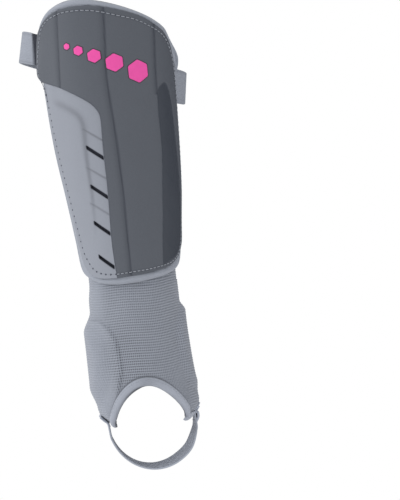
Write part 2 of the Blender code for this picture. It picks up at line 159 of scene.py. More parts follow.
# The line of stitches round the shell
STITCH_LINE = (
    (-44, 0.956), (-31.3, 0.968), (-19, 0.963), (-6.2, 0.94), (9.7, 0.893), (25, 0.85),
    (39.4, 0.79), (51.5, 0.738), (60, 0.684), (68, 0.6), (73.5, 0.51), (77, 0.38),
    (79.6, 0), (78.4, -0.42), (74.6, -0.68), (67.5, -0.8), (59.5, -0.87), (51, -0.914),
    (41, -0.942), (28, -0.956), (13.8, -0.965), (-7.2, -0.97), (-21.9, -0.972),
    (-29, -0.968), (-37.6, -0.958), (-46.9, -0.927), (-54.3, -0.867), (-60.9, -0.775),
    (-64.3, -0.62), (-66.3, -0.469), (-67.6, -0.318), (-69, -0.13), (-70.3, 0.058),
    (-71.6, 0.246), (-72.4, 0.357), (-73.5, 0.47), (-77, 0.57), (-76.5, 0.68),
    (-67.5, 0.83), (-58.6, 0.908),
)
PLATE_STITCH_PITCH = 0.0038
PANEL_STITCH_PITCH = 0.0050
PLATE_THREAD = 0.00034
PANEL_THREAD = 0.00026
PLATE_MARK = 0.00040
PANEL_MARK = 0.00070

# Local lifts of soft edges: the plate's lower left corner and the pad's upper right rim
CORNER_LIFT = 0.0026
RIM_BULGE = 0.0060
RIM_BULGE_HEIGHT = 0.0570
RIM_BULGE_REACH = 0.0240

# The pad's rim: its crown, its rounding, and where it lies over the strap's upper edge
RIM_CROWN = 0.0006
RIM_CROWN_PLACE = 0.0030
RIM_FALL = 1.45
RIM_ROUND = 0.0034
RIM_OVERLAP = 0.0034
RIM_CLEARANCE = 0.0012

# Straps
STRAP_HEIGHT = 0.0574
STRAP_SLOPE = 0.38
STRAP_WIDTH = 0.0250
STRAP_TUCK_TURN = 66.0
STRAP_LEAN = 0.25
STRAP_RIGHT_LEAN = 0.18
STRAP_SHIFT = 0.0010
STRAP_HELD_TURN = 88.0
STRAP_FREE_TURN = 106.0
STRAP_SHADE_TURN = 92.5
STRAP_SHADE_FADE = 3.5
HEM_INSET = 0.14
HEM_SPREAD = 0.05
STIRRUP_WIDTH = 0.0200
STIRRUP_WALL = 0.0014
STIRRUP_SEAM = 0.0070
STIRRUP_DEPTH = 0.0379
STIRRUP_REACH = 0.0040
STIRRUP_EDGE_TURN = 5.5
STIRRUP_TWIST = 14.0
STIRRUP_BULGE = 0.0009

# The stirrup's folded ends: name, thickness, side, height over the foot, drop, way out and bow
STIRRUP_FOLDS = (
    ("inner", 0.0012, -1, 0.0066, 0.0082, -0.0002, 0.0001),
    ("outer_upper", 0.0014, 1, 0.0048, 0.005, -0.0004, 0.0001),
    ("outer_lower", 0.002, 1, 0.0004, 0.0078, 0.001, 0.0013),
)
# The rows of tacks across its ends: side, heights over the foot and way out
TACK_ROWS = ((-1, (0.0050, 0.0024), 0.0003), (1, (0.0036, 0.0008), 0.0002))
TACK_COUNT = 6
TACK_START = -0.0085
TACK_PITCH = 0.0029
TACK_LENGTH = 0.0021
TACK_THREAD = 0.00036
TACK_COLOR = (0.120, 0.130, 0.155)
# The knots at the lobes' corners: turn and height over the foot
LOBE_TACKS = ((-72.5, 0.0008), (-70, 0.0018), (66, 0.0002), (69, 0.0016), (72, 0.0002),
              (75, 0.0016))

# Sleeve
ANKLE_PAD_WIDTH = 0.0620
ANKLE_PAD_HEIGHT = 0.0760
ANKLE_PAD_DROP = 0.0570
INNER_ANKLE_BULGE = 0.0068
OUTER_ANKLE_BULGE = 0.0038
ANKLE_PAD_FLAT = 0.55
INSTEP_ARCH_RISE = 0.0345
HEEL_ARCH_RISE = 0.0275
HEEL_ARCH_TURN = 174.0
ARCH_MIDDLE = -6.0
ARCH_LEFT_TURN = 60.0
ARCH_RIGHT_TURN = 58.5
HEEL_HALF_TURN = 66.0
ARCH_FULLNESS = 1.2
ARCH_FRONT_FULLNESS = 0.95
RIB_PITCH = 0.0020
RIB_WAVE = 0.0007
RIB_RIPPLE = 0.0004
CREASE_HEIGHT = 0.0004
LEFT_LOBE_FLARE = 0.0022
RIGHT_LOBE_FLARE = 0.0016
NET_TURN = -26
NET_HEIGHT = -0.170
NET_SHARE = 0.70
DISC_EDGE = (
    (-84, -0.1368), (-68.4, -0.1372), (-56.6, -0.1383), (-50.8, -0.1402), (-44.2, -0.1439),
    (-39.3, -0.148), (-36, -0.1525), (-33.8, -0.1618), (-33.2, -0.1696), (-33.5, -0.1772),
    (-36.4, -0.1848), (-41.2, -0.1923), (-48, -0.2),
)
DISC_STEP = 0.0022
DISC_RADIUS = 0.040


def smooth_step(share):
    """Rise softly from 0 to 1."""
    share = np.clip(share, 0.0, 1.0)
    return share * share * (3 - 2 * share)


def bell(distance, width):
    """A soft bump, 1 at no distance and near 0 past its width."""
    return np.exp(-(distance / (0.6 * width)) ** 2)


def smooth_line(points, spacing, closed=False):
    """A Catmull-Rom line through points, at about an even spacing."""
    points = np.array(points, dtype=float)
    count = len(points)
    line = []
    for span in range(count if closed else count - 1):
        places = np.arange(span - 1, span + 3)
        a, b, c, d = points[places % count if closed else np.clip(places, 0, count - 1)]
        steps = max(1, round(float(np.linalg.norm(c - b)) / spacing))
        for t in np.arange(steps) / steps:
            line.append(0.5 * (2 * b + (c - a) * t + (2 * a - 5 * b + 4 * c - d) * t ** 2
                               + (3 * b - 3 * c + d - a) * t ** 3))
    return np.array(line if closed else line + [points[-1]])


def wrapped(turns):
    """Turns in degrees, brought to between -180 and 180."""
    return (np.asarray(turns, float) + 180) % 360 - 180


def lengths_along(line):
    """How far along a line each of its points is."""
    return np.concatenate([[0], np.cumsum(np.linalg.norm(np.diff(line, axis=0), axis=1))])


def even_line(line, spacing):
    """The same line with its points an equal way apart."""
    lengths = lengths_along(line)
    count = max(2, round(lengths[-1] / spacing))
    places = np.linspace(0, lengths[-1], count + 1)
    return np.stack([np.interp(places, lengths, line[:, k]) for k in range(line.shape[1])], axis=1)


def section_table():
    """The leg's five sizes at close heights, eased between the rows of LEG_ROWS."""
    heights = np.linspace(LOBE_FOOT - 0.012, PAD_FOOT + PAD_HEIGHT, 700)
    rows = np.array(LEG_ROWS)
    levels, sizes = rows[:, 0], rows[:, 1:]
    table = []
    for height in heights:
        span = PAD_HEIGHT if height > PAD_FOOT else SLEEVE_DROP
        level = np.clip((height - PAD_FOOT) / span, levels[-1], levels[0])
        low = int(np.argmax(levels[1:] <= level)) + 1
        before, start, end, after = np.clip((low + 1, low, low - 1, low - 2), 0, len(rows) - 1)
        step = levels[end] - levels[start]
        t = (level - levels[start]) / step
        slope_in = (sizes[end] - sizes[before]) / (levels[end] - levels[before]) * step
        slope_out = (sizes[after] - sizes[start]) / (levels[after] - levels[start]) * step
        table.append(sizes[start] * (2 * t ** 3 - 3 * t ** 2 + 1)
                     + slope_in * (t ** 3 - 2 * t ** 2 + t)
                     + sizes[end] * (3 * t ** 2 - 2 * t ** 3) + slope_out * (t ** 3 - t ** 2))
    return heights, np.array(table) * (LEG_SIDE, LEG_SIDE, LEG_FRONT, LEG_BACK, CALF_FLARE)


SECTION_HEIGHTS, SECTION_TABLE = section_table()


def leg_points(turns, heights, offsets):
    """Points some distance off the leg, turned in degrees from the front towards +X."""
    turns, heights, offsets = np.broadcast_arrays(
        np.asarray(turns, float), np.asarray(heights, float), np.asarray(offsets, float))
    shift, side, front, back, flare = (
        np.interp(heights, SECTION_HEIGHTS, SECTION_TABLE[:, k]) for k in range(5))

    def plan(angles):
        angles = wrapped(angles)
        away = np.abs(angles)
        spread = side + flare * smooth_step((away - FLARE_START) / (FLARE_END - FLARE_START))
        depth = np.where(away < 90, front, back)
        radians = np.radians(angles)
        return shift + spread * np.sin(radians), -depth * np.cos(radians)

    (x, y), (x_after, y_after), (x_before, y_before) = (
        plan(turns + step) for step in (0, 0.1, -0.1))
    along_x, along_y = x_after - x_before, y_after - y_before
    length = np.hypot(along_x, along_y)
    return np.stack([x + along_y / length * offsets, y - along_x / length * offsets, heights],
                    axis=-1)


def unit(vectors):
    """The vectors, each made one long."""
    vectors = np.asarray(vectors, dtype=float)
    return vectors / np.linalg.norm(vectors, axis=-1, keepdims=True)


def leg_frame(turns, heights, offsets):
    """Points on the form, with the ways out of it and up along it."""
    points = leg_points(turns, heights, offsets)
    outs = unit(leg_points(turns, heights, np.asarray(offsets) + 0.001) - points)
    ups = unit(leg_points(turns, np.asarray(heights) + 0.001, offsets) - points)
    return points, outs, ups


def chart(rows, half_height):
    """Turns and height shares as places on a flat chart, in metres."""
    return np.array([(math.radians(turn) * CHART_RADIUS, level * half_height)
                     for turn, level in rows])


def chart_turn(x):
    """The turn, in degrees, of a place on the chart."""
    return np.degrees(x / CHART_RADIUS)


def line_distance(points, line, closed=False):
    """How far chart points are from a line, the nearest place along it, and their side of it."""
    starts = line if closed else line[:-1]
    ends = np.roll(line, -1, axis=0) if closed else line[1:]
    best = np.full(len(points), 1e9)
    place, side = np.zeros(len(points)), np.zeros(len(points))
    run = 0.0
    for start, end in zip(starts, ends):
        step = end - start
        length = float(np.hypot(*step)) or 1e-9
        t = np.clip(((points - start) @ step) / length ** 2, 0, 1)
        gap = points - start - t[:, None] * step
        distance = np.hypot(gap[:, 0], gap[:, 1])
        closer = distance < best
        best = np.where(closer, distance, best)
        place = np.where(closer, run + t * length, place)
        side = np.where(closer, np.sign(step[0] * gap[:, 1] - step[1] * gap[:, 0]), side)
        run += length
    return best, place / run, side


def moved_loop(loop, distance):
    """A closed loop moved inwards, or outwards where the distance is negative."""
    before = unit(loop - np.roll(loop, 1, axis=0))
    normal_a, normal_b = (np.stack([-way[:, 1], way[:, 0]], axis=1)
                          for way in (before, np.roll(before, -1, axis=0)))
    middle = unit(normal_a + normal_b)
    stretch = 1 / np.maximum(0.5, np.sum(middle * normal_a, axis=1))
    return loop + middle * (stretch * distance)[:, None]


def anticlockwise(loop):
    """The loop, turned round if it runs clockwise."""
    x, y = loop[:, 0], loop[:, 1]
    area = np.sum(x * np.roll(y, -1) - np.roll(x, -1) * y)
    return loop if area > 0 else loop[::-1]


def finish_mesh(name, verts, faces, uvs, material, attributes=None, sharp=50):
    """A piece from its points and faces, with a map in millimetres for its materials."""
    mesh = bpy.data.meshes.new(name)
    mesh.from_pydata([tuple(v) for v in verts], [], [tuple(f) for f in faces])
    layer = mesh.uv_layers.new(name="millimetres")
    loops = np.empty(len(mesh.loops), dtype=np.int32)
    mesh.loops.foreach_get("vertex_index", loops)
    flat = uvs(loops) if callable(uvs) else np.asarray(uvs)[loops]
    layer.data.foreach_set("uv", (flat * 1000).astype(np.float32).ravel())
    for key, values in (attributes or {}).items():
        data = mesh.attributes.new(key, "FLOAT", "POINT")
        data.data.foreach_set("value", np.asarray(values, dtype=np.float32))
    mesh.materials.append(material)
    mesh.shade_smooth()
    mesh.set_sharp_from_angle(angle=math.radians(sharp))
    piece = bpy.data.objects.new(name, mesh)
    bpy.context.scene.collection.objects.link(piece)
    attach(piece, "root")
    return piece


def shell_line(rows, spacing=0.002, closed=False):
    """A smooth line on the chart through turns and shares of the shell's half height."""
    return smooth_line(chart(rows, SHELL_HALF), spacing, closed)


def flat_grid(outline, holes, rings, step):
    """A flat plate's points and faces: rings along its edges and a grid inside them."""
    shape = bmesh.new()
    edges = []
    loops = [(anticlockwise(outline), 1)] + [(anticlockwise(hole), -1) for hole in holes]
    for loop, side in loops:
        before = None
        for ring in rings:
            verts = [shape.verts.new((x, y, 0)) for x, y in moved_loop(loop, side * ring)]
            if before is not None:
                for k in range(len(verts)):
                    quad = (before[k - 1], before[k], verts[k], verts[k - 1])
                    shape.faces.new(quad if side > 0 else quad[::-1])
            before = verts
        edges += [shape.edges.get((before[k - 1], before[k])) for k in range(len(before))]
    bmesh.ops.triangle_fill(shape, use_beauty=False, use_dissolve=False, edges=edges)
    bmesh.ops.recalc_face_normals(shape, faces=shape.faces[:])
    shape.normal_update()
    if sum(face.normal.z * face.calc_area() for face in shape.faces) < 0:
        bmesh.ops.reverse_faces(shape, faces=shape.faces[:])
    bmesh.ops.dissolve_limit(shape, angle_limit=0.001, verts=shape.verts[:],
                             edges=[e for e in shape.edges if len(e.link_faces) == 2
                                    and all(len(f.verts) == 3 for f in e.link_faces)])
    for axis in (0, 1):
        places = [vert.co[axis] for vert in shape.verts]
        normal = Vector((1 - axis, axis, 0))
        first, last = math.ceil(min(places) / step), math.floor(max(places) / step)
        for place in np.arange(first, last + 1) * step:
            faces = [face for face in shape.faces
                     if max(v.co[axis] for v in face.verts) > place - 1e-6
                     and min(v.co[axis] for v in face.verts) < place + 1e-6]
            near = {vert for face in faces for vert in face.verts}
            lines = {edge for face in faces for edge in face.edges}
            bmesh.ops.bisect_plane(shape, geom=list(near) + list(lines) + faces, dist=1e-7,
                                   plane_co=normal * place, plane_no=normal)
    bmesh.ops.triangulate(shape, faces=[face for face in shape.faces if len(face.verts) > 4])
    shape.verts.index_update()
    points = np.array([vert.co[:2] for vert in shape.verts])
    faces = [[vert.index for vert in face.verts] for face in shape.faces]
    walls = [edge.link_loops[0] for edge in shape.edges if len(edge.link_faces) == 1]
    rim = [(wall.vert.index, wall.link_loop_next.vert.index) for wall in walls]
    shape.free()
    return points, faces, rim


def bent_plate(name, outline, holes, rings, step, inner, outer, material, attributes=None):
    """A closed plate round the leg. inner and outer give each chart point's distances off it."""
    points, faces, rim = flat_grid(outline, holes, rings, step)
    gap, _, _ = line_distance(points, anticlockwise(outline), closed=True)
    for hole in holes:
        gap = np.minimum(gap, line_distance(points, hole, closed=True)[0])
    turns = chart_turn(points[:, 0])
    top = leg_points(turns, points[:, 1], outer(points, gap))
    low = leg_points(turns, points[:, 1], inner(points, gap))
    count = len(points)
    walls = [(b, a, a + count, b + count) for a, b in rim]
    back = [[k + count for k in reversed(face)] for face in faces]
    extra = {key: np.concatenate(make(points, gap)) for key, make in (attributes or {}).items()}
    return finish_mesh(name, np.vstack([top, low]), faces + back + walls,
                       np.vstack([points, points]), material, extra)


def on_face(values, back=0.0):
    """Values for a plate's face, with one value for all of its back."""
    values = np.asarray(values, dtype=float)
    return values, np.full(len(values), back)


def rounded(gap, radius):
    """How far a rounded edge lies below its face, by the distance from the edge."""
    inside = np.clip(radius - gap, 0, radius)
    return radius - np.sqrt(np.maximum(radius ** 2 - inside ** 2, 0))


def loft(name, rings, material, attributes=None, sharp=50):
    """A closed body through rings of points, with a flat cap on each end."""
    rings = np.asarray(rings, dtype=float)
    stations, sides, _ = rings.shape
    along = lengths_along(rings.mean(axis=1))
    middle = rings[stations // 2]
    around = lengths_along(np.vstack([middle, middle[:1]]))
    faces, maps = [], []
    for i in range(stations - 1):
        for j in range(sides):
            a, b = i * sides + j, i * sides + (j + 1) % sides
            faces.append((a, b, b + sides, a + sides))
            maps += [(along[i], around[j]), (along[i], around[j + 1]),
                     (along[i + 1], around[j + 1]), (along[i + 1], around[j])]
    faces.append(tuple(range(sides))[::-1])
    faces.append(tuple(range((stations - 1) * sides, stations * sides)))
    maps += [(along[0], around[j]) for j in reversed(range(sides))]
    maps += [(along[-1], around[j]) for j in range(sides)]
    return finish_mesh(name, rings.reshape(-1, 3), faces, lambda loops: np.array(maps), material,
                       attributes, sharp)


def tint(color, factor):
    """A colour made lighter or darker."""
    return tuple(min(channel * factor, 1.0) for channel in color)


PLATE_COLOR = (0.086, 0.094, 0.111)
PLATE_SHADE = (0.037, 0.042, 0.056)
# The blade's darker colour: partly its own tone, partly painted shade of a face turned from the light
BLADE_COLOR = (0.053, 0.060, 0.075)
PANEL_COLOR = (0.240, 0.256, 0.296)
PAD_COLOR = (0.305, 0.327, 0.378)
KNIT_COLOR = (0.290, 0.311, 0.361)
STRAP_COLOR = (0.285, 0.306, 0.354)
TAPE_COLOR = (0.366, 0.391, 0.452)
THREAD_COLOR = (0.300, 0.318, 0.360)
DARK_COLOR = (0.026, 0.029, 0.040)
PINK_COLOR = (0.800, 0.080, 0.370)


class Finish:
    """A Principled material whose colour is built up in layers over soft blotches."""

    def __init__(self, name, color, roughness, specular, per_mm, spread, sheen=0.0):
        self.material = bpy.data.materials.new(name)
        self.material.use_nodes = True
        self.tree = self.material.node_tree
        self.shader = self.tree.nodes["Principled BSDF"]
        self.shader.inputs["Base Color"].default_value = (*color, 1)
        self.shader.inputs["Roughness"].default_value = roughness
        self.shader.inputs["Specular IOR Level"].default_value = specular
        self.shader.inputs["Sheen Weight"].default_value = sheen
        self.shader.inputs["Sheen Roughness"].default_value = 0.5
        self.color = color
        self.base = self.mixed(self.noise(per_mm, 3.0), tint(color, 1 - spread),
                               tint(color, 1 + spread))

    def put(self, value, socket):
        """Link a socket to an input, or set the input to a number or a colour."""
        if isinstance(value, (int, float)):
            socket.default_value = value
        elif isinstance(value, tuple):
            socket.default_value = (*value, 1)
        else:
            self.tree.links.new(value, socket)

    def node(self, kind, inputs=None, **settings):
        """A node with its inputs and other settings."""
        node = self.tree.nodes.new(kind)
        for key, value in settings.items():
            setattr(node, key, value)
        for key, value in (inputs or {}).items():
            self.put(value, node.inputs[key])
        return node

    def math(self, operation, *values):
        """A Math node whose inputs are numbers or sockets."""
        return self.node("ShaderNodeMath", dict(enumerate(values)), operation=operation).outputs[0]

    def mixed(self, factor, first, second):
        """A colour between two, where each is a colour or a socket."""
        return self.node("ShaderNodeMix", {0: factor, 6: first, 7: second}, data_type="RGBA",
                         clamp_factor=True).outputs[2]

    def attribute(self, name):
        """A value that the mesh carries at its points."""
        return self.node("ShaderNodeAttribute", attribute_name=name).outputs["Fac"]

    def noise(self, per_mm, detail=2.0):
        """Noise over the piece's own coordinates, with so many lumps a millimetre."""
        source = self.node("ShaderNodeTexCoord").outputs["Object"]
        return self.node("ShaderNodeTexNoise", {"Scale": per_mm * 1000.0, "Detail": detail,
                                                "Vector": source}).outputs["Fac"]

    def millimetres(self):
        """The piece's flat map."""
        return self.node("ShaderNodeUVMap", uv_map="millimetres").outputs["UV"]

    def weave(self, *pitches):
        """Soft bands from 0 to 1 along the map and around it, each shifted a little by noise."""
        places = self.millimetres()
        split = self.node("ShaderNodeSeparateXYZ", {0: places})
        noise = self.node("ShaderNodeTexNoise", {"Scale": 0.35, "Detail": 2.0, "Vector": places})
        shift = self.math("MULTIPLY", self.math("SUBTRACT", noise.outputs["Fac"], 0.5), 0.5)
        waves = []
        for axis, pitch in enumerate(pitches):
            place = self.math("ADD", split.outputs[axis], shift)
            sine = self.math("SINE", self.math("MULTIPLY", place, 2 * math.pi / pitch))
            waves.append(self.math("MULTIPLY_ADD", sine, 0.5, 0.5))
        return waves

    def layer(self, factor, tone, share=1.0):
        """Mix the colour so far towards a colour, or towards its own made lighter or darker."""
        if isinstance(factor, str):
            factor = self.attribute(factor)
        if share < 1:
            factor = self.math("MULTIPLY", factor, share)
        self.base = self.mixed(factor, self.base,
                               tone if isinstance(tone, tuple) else tint(self.color, tone))

    def done(self, height, depth, strength):
        """The material, with its colour in place and a bump of a depth in metres."""
        bump = self.node("ShaderNodeBump", {"Strength": strength, "Distance": depth,
                                            "Height": height})
        self.put(self.base, self.shader.inputs["Base Color"])
        self.put(bump.outputs["Normal"], self.shader.inputs["Normal"])
        return self.material


def plate_material():
    """Satin moulded plastic with a fine grain, smoother on the blade and darker there, partly its own
    tone and partly painted shade.
    """
    finish = Finish("plate_plastic", PLATE_COLOR, 0.5, 0.16, 0.05, 0.06)
    finish.layer(finish.noise(1.3), 1.22)
    finish.layer("edge", 1.7, 0.30)
    # The blade, darker partly in its own tone and partly by painted shade
    finish.layer("blade", BLADE_COLOR)
    # Painted shade in the folds, by the seam and in the stitch channel
    finish.layer("groove", PLATE_SHADE)
    rough = finish.math("MULTIPLY_ADD", finish.attribute("blade"), -0.14, 0.52)
    finish.put(rough, finish.shader.inputs["Roughness"])
    return finish.done(finish.noise(1.6), 0.00006, 0.6)


def panel_material():
    """Matte moulded plastic with a fine stipple."""
    finish = Finish("panel_plastic", PANEL_COLOR, 0.55, 0.25, 0.06, 0.04)
    finish.layer(finish.noise(1.1), 1.10)
    finish.layer("edge", 1.35, 0.25)
    # Painted shade along the step line and on the ribs
    finish.layer("groove", 0.42)
    # Painted shade in the slots
    finish.layer("slot", DARK_COLOR)
    dots = finish.node("ShaderNodeTexVoronoi", {"Scale": 1.1, "Randomness": 0.35,
                                                "Vector": finish.millimetres()})
    return finish.done(dots.outputs["Distance"], 0.00008, 0.6)


def cloth_material(name, color, pitch, depth, dark):
    """Woven cloth: bands both ways, a fuzz and soft blotches. dark names an attribute that carries
    painted shade.
    """
    finish = Finish(name, color, 0.85, 0.15, 0.10, 0.08, sheen=0.15)
    weave = finish.math("MULTIPLY", *finish.weave(pitch, pitch))
    fuzz = finish.noise(2.2)
    finish.layer(weave, 1.45, 0.35)
    finish.layer(fuzz, 0.70, 0.25)
    # Painted shade from the named attribute
    finish.layer(dark, DARK_COLOR)
    return finish.done(finish.math("MULTIPLY_ADD", fuzz, 0.6, weave), depth, 0.8)


def knit_material():
    """Fine knit in rows of small loops, with open dark holes where it is stretched."""
    finish = Finish("sleeve_knit", KNIT_COLOR, 0.88, 0.12, 0.08, 0.07, sheen=0.15)
    column, row = finish.weave(1.6)[0], finish.attribute("rib")
    valley, between = (finish.math("SUBTRACT", 1.0, value) for value in (row, column))
    valley_shade_noise = finish.math("MULTIPLY_ADD", finish.noise(0.7), 1.2, -0.1)
    loops = finish.math("MULTIPLY", column, row)
    holes = finish.math("MULTIPLY", valley, between)
    # Painted shade in the valleys between the rows, in uneven patches
    finish.layer(finish.math("MULTIPLY", valley, valley_shade_noise), 0.55, 0.62)
    # Painted shade beside the inner disc's edge
    finish.layer("beside", 0.55, 0.22)
    finish.layer(loops, 1.5, 0.22)
    finish.layer(finish.math("MULTIPLY", holes, finish.attribute("net")), 0.18)
    # Painted shade above the tape and on the lining by the hem
    finish.layer("inside", 0.35)
    return finish.done(finish.math("MULTIPLY_ADD", finish.noise(2.5), 0.6, loops), 0.00025, 0.8)


def webbing_material(name, color, depth):
    """Woven elastic: fine cords along it, a braid across them and a firm line by each edge."""
    finish = Finish(name, color, 0.82, 0.08, 0.12, 0.08, sheen=0.04)
    braid, cords = finish.weave(0.9, 1.35)
    finish.layer(cords, 1.30, 0.20)
    finish.layer(finish.math("MULTIPLY", cords, braid), 0.70, 0.15)
    finish.layer(finish.noise(2.4), 0.75, 0.18)
    finish.layer("hem", 0.60, 0.4)
    # Painted shade from the dark attribute
    finish.layer("dark", DARK_COLOR)
    return finish.done(finish.math("ADD", cords, braid), depth, 0.40)


def plain_material(name, color, roughness):
    """A small part's finish: its colour with slight blotches and a fine grain."""
    finish = Finish(name, color, roughness, 0.3, 0.25, 0.07)
    finish.layer(finish.noise(2.5), 0.75, 0.3)
    return finish.done(finish.noise(2.5), 0.00006, 0.6)


def seam_line(side):
    """The seam between plate and panel on the chart, moved half its width to one side."""
    line = shell_line(SEAM, 0.0015)
    along = unit(np.gradient(line, axis=0))
    return line + np.stack([-along[:, 1], along[:, 0]], axis=1) * side * SEAM_WIDTH / 2


def slot_heads():
    """The height of each slot's upper outer corner."""
    return [SLOT_TOP - sum(SLOT_PITCH * SLOT_PITCH_RATIO ** k for k in range(index))
            for index in range(SLOT_COUNT)]


def shell_scale(height):
    """How long a metre round the shell is on the chart, at a height."""
    _, side, front, _, _ = (np.interp(height, SECTION_HEIGHTS, SECTION_TABLE[:, k])
                            for k in range(5))
    return CHART_RADIUS / ((side + front) / 2 + SHELL_OUTER)


def seam_place(height):
    """Where the seam is on the chart at a height below its bend."""
    line = seam_line(-1)
    line = line[line[:, 1] < 0.15 * SHELL_HALF]
    return float(np.interp(-height, -line[:, 1], line[:, 0]))


def inside_distance(points, loop):
    """How far chart points are inside a closed anticlockwise loop, negative outside it."""
    gap, _, side = line_distance(points, loop, closed=True)
    return np.where(side > 0, gap, -gap)


def slot_outline(head):
    """A slanted slot beside the seam, with its corners slightly rounded."""
    foot = head - SLOT_DROP
    right = seam_place(foot) - SLOT_MARGIN * shell_scale(foot)
    left = right - SLOT_REACH * shell_scale(foot)
    corners = np.array([(left, head), (left, head - SLOT_HEIGHT), (right, foot - SLOT_HEIGHT),
                        (right, foot)])
    into = unit(np.roll(corners, 1, axis=0) - corners)
    out = unit(np.roll(corners, -1, axis=0) - corners)
    return np.stack([corners + into * 0.0006, corners + (into + out) * 0.00018,
                     corners + out * 0.0006], axis=1).reshape(-1, 2)


def shell_edge():
    """The whole shell's edge on the chart."""
    return anticlockwise(np.vstack([shell_line(PLATE_EDGE), shell_line(PANEL_EDGE)[1:]]))


SHELL_EDGE = shell_edge()
STITCHES = shell_line(STITCH_LINE, closed=True)


def stitch_channel(points):
    """The shallow channel that the stitches lie in."""
    return bell(line_distance(points, STITCHES, closed=True)[0], 0.0012)


def corner_lift(points):
    """How far the plate's lower left corner stands off the strap that runs under it."""
    turns = chart_turn(points[:, 0])
    levels = points[:, 1] / SHELL_HALF
    return CORNER_LIFT * smooth_step((-turns - 60) / 20) * bell(levels - 0.54, 0.22)


def fold_relief(points):
    """The folds of the plate: depth of each soft fall, and how near its sharp line is."""
    depth, near = np.zeros(len(points)), np.zeros(len(points))
    for rows in FOLD_LINES:
        gap, place, side = line_distance(points, shell_line(rows, 0.003))
        width = np.where(side > 0, FOLD_SHARP, FOLD_SOFT)
        beside = (place > 0.001) & (place < 0.999)
        depth = np.maximum(depth, np.clip(1 - gap / width, 0, 1) ** 2 * beside)
        near = np.maximum(near, bell(gap, 0.0015) * beside)
    return depth, near


def make_front_plate():
    """The dark plate with its folds and the smooth blade at its right, darker partly in its own tone
    and partly by painted shade.
    """
    seam = seam_line(1)
    outline = np.vstack([shell_line(PLATE_EDGE)[1:-1], seam[::-1]])
    blade = anticlockwise(shell_line(BLADE, closed=True))

    def louvres(points):
        slope = SLOT_DROP / SLOT_REACH
        run = points[:, 1] + slope * (points[:, 0] - LOUVRE_START)
        share = run / (SLOT_PITCH * SLOT_PITCH_RATIO) % 1
        return share * smooth_step((1 - share) / 0.08)

    def outer(points, gap):
        inside = inside_distance(points, blade)
        relief = -0.00030 * stitch_channel(points) - FOLD_DEPTH * fold_relief(points)[0]
        relief -= BLADE_DEPTH * smooth_step(inside / 0.0010 + 0.5)
        relief += LOUVRE_DEPTH * louvres(points) * smooth_step((inside - 0.002) / 0.006)
        radius = 0.0003 + 0.0008 * smooth_step(line_distance(points, seam)[0] / 0.004)
        return SHELL_OUTER + relief - rounded(gap, radius) + corner_lift(points)

    # Painted shade: darker along the folds' sharp lines and soft falls, by the seam and in the stitch
    # channel
    def groove(points, gap):
        depth, near = fold_relief(points)
        by_seam = bell(line_distance(points, seam)[0], 0.0012)
        return on_face(np.max([0.85 * near, 0.42 * depth, 0.35 * by_seam,
                               0.35 * stitch_channel(points)], axis=0))

    attributes = {
        # The blade's darker colour, partly its own tone and partly painted shade
        "blade": lambda points, gap: on_face(
            smooth_step(inside_distance(points, blade) / 0.0010 + 0.5)),
        "groove": groove,
        "edge": lambda points, gap: on_face(bell(gap, 0.0008)),
    }
    plate = bent_plate("front_plate_shell", outline, [], (0, 0.00025, 0.0006, 0.0011), 0.0010,
                       lambda points, gap: SHELL_INNER + 0.8 * corner_lift(points), outer,
                       plate_material(), attributes)
    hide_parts("front_plate")


def panel_recess(points):
    """How far inside the step line a place of the panel is, 0 outside and 1 inside."""
    step = shell_line(STEP_LINE)
    gap, _, side = line_distance(points, step)
    inside = smooth_step(side * gap / STEP_WIDTH + 0.5)
    ends = smooth_step((points[:, 0] - step[0, 0]) / 0.010)
    return inside * ends * smooth_step((points[:, 1] + 0.76 * SHELL_HALF) / 0.04)


def rib_lines():
    """The thin ribs above the upper slots, as lines on the chart with their strengths."""
    ribs = []
    for index, strength in enumerate(RIB_STRENGTH):
        top = slot_heads()[index] + RIB_RISE + 0.0005 * index
        foot = top - SLOT_DROP
        right = seam_place(foot) - 0.0006
        left = right - (SLOT_REACH + 0.0012) * shell_scale(foot)
        ribs.append((np.array([(left, top), (right, foot)]), strength))
    return ribs


def make_vent_panel():
    """The light panel: a recess inside its step line, slanted ribs and the four slots."""
    outline = np.vstack([shell_line(PANEL_EDGE)[1:-1], seam_line(-1)])
    slots = [slot_outline(head) for head in slot_heads()]
    ribs = rib_lines()

    def rib_mask(points):
        return np.max([strength * bell(line_distance(points, line)[0], 0.0013)
                       for line, strength in ribs], axis=0)

    def outer(points, gap):
        return (SHELL_OUTER - 0.00025 * stitch_channel(points) - STEP_DEPTH * panel_recess(points)
                - RIB_DEPTH * rib_mask(points) - rounded(gap, 0.0003))

    # Painted shade along the step line's slope and on the ribs
    def shading(points, gap):
        near, place, _ = line_distance(points, shell_line(STEP_LINE))
        fade = smooth_step((points[:, 1] + 0.74 * SHELL_HALF) / 0.06) * smooth_step(place / 0.10)
        width = 0.0015 + 0.0015 * smooth_step((points[:, 1] + 0.030) / 0.05)
        soft = 0.34 * np.exp(-(near / width) ** 2) * fade
        return on_face(np.maximum(0.62 * rib_mask(points), soft))

    # Painted shade in the slots: dark round their walls, and all over the back that shows through them
    def slot_shade(points, gap):
        near = np.min([line_distance(points, slot, closed=True)[0] for slot in slots], axis=0)
        return on_face(0.95 * smooth_step(1 - near / 0.00070), 1.0)

    attributes = {"groove": shading, "slot": slot_shade,
                  "edge": lambda points, gap: on_face(bell(gap, 0.0006))}
    panel = bent_plate("vent_panel_shell", outline, slots, (0, 0.0002, 0.0005), 0.0010,
                       lambda points, gap: SHELL_INNER, outer, panel_material(), attributes)
    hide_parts("vent_panel")


def strap_middle(turns):
    """The calf strap's height where it passes a turn."""
    across = leg_points(turns, STRAP_HEIGHT, STRAP_OUTER)[..., 0]
    return STRAP_HEIGHT - STRAP_SLOPE * across


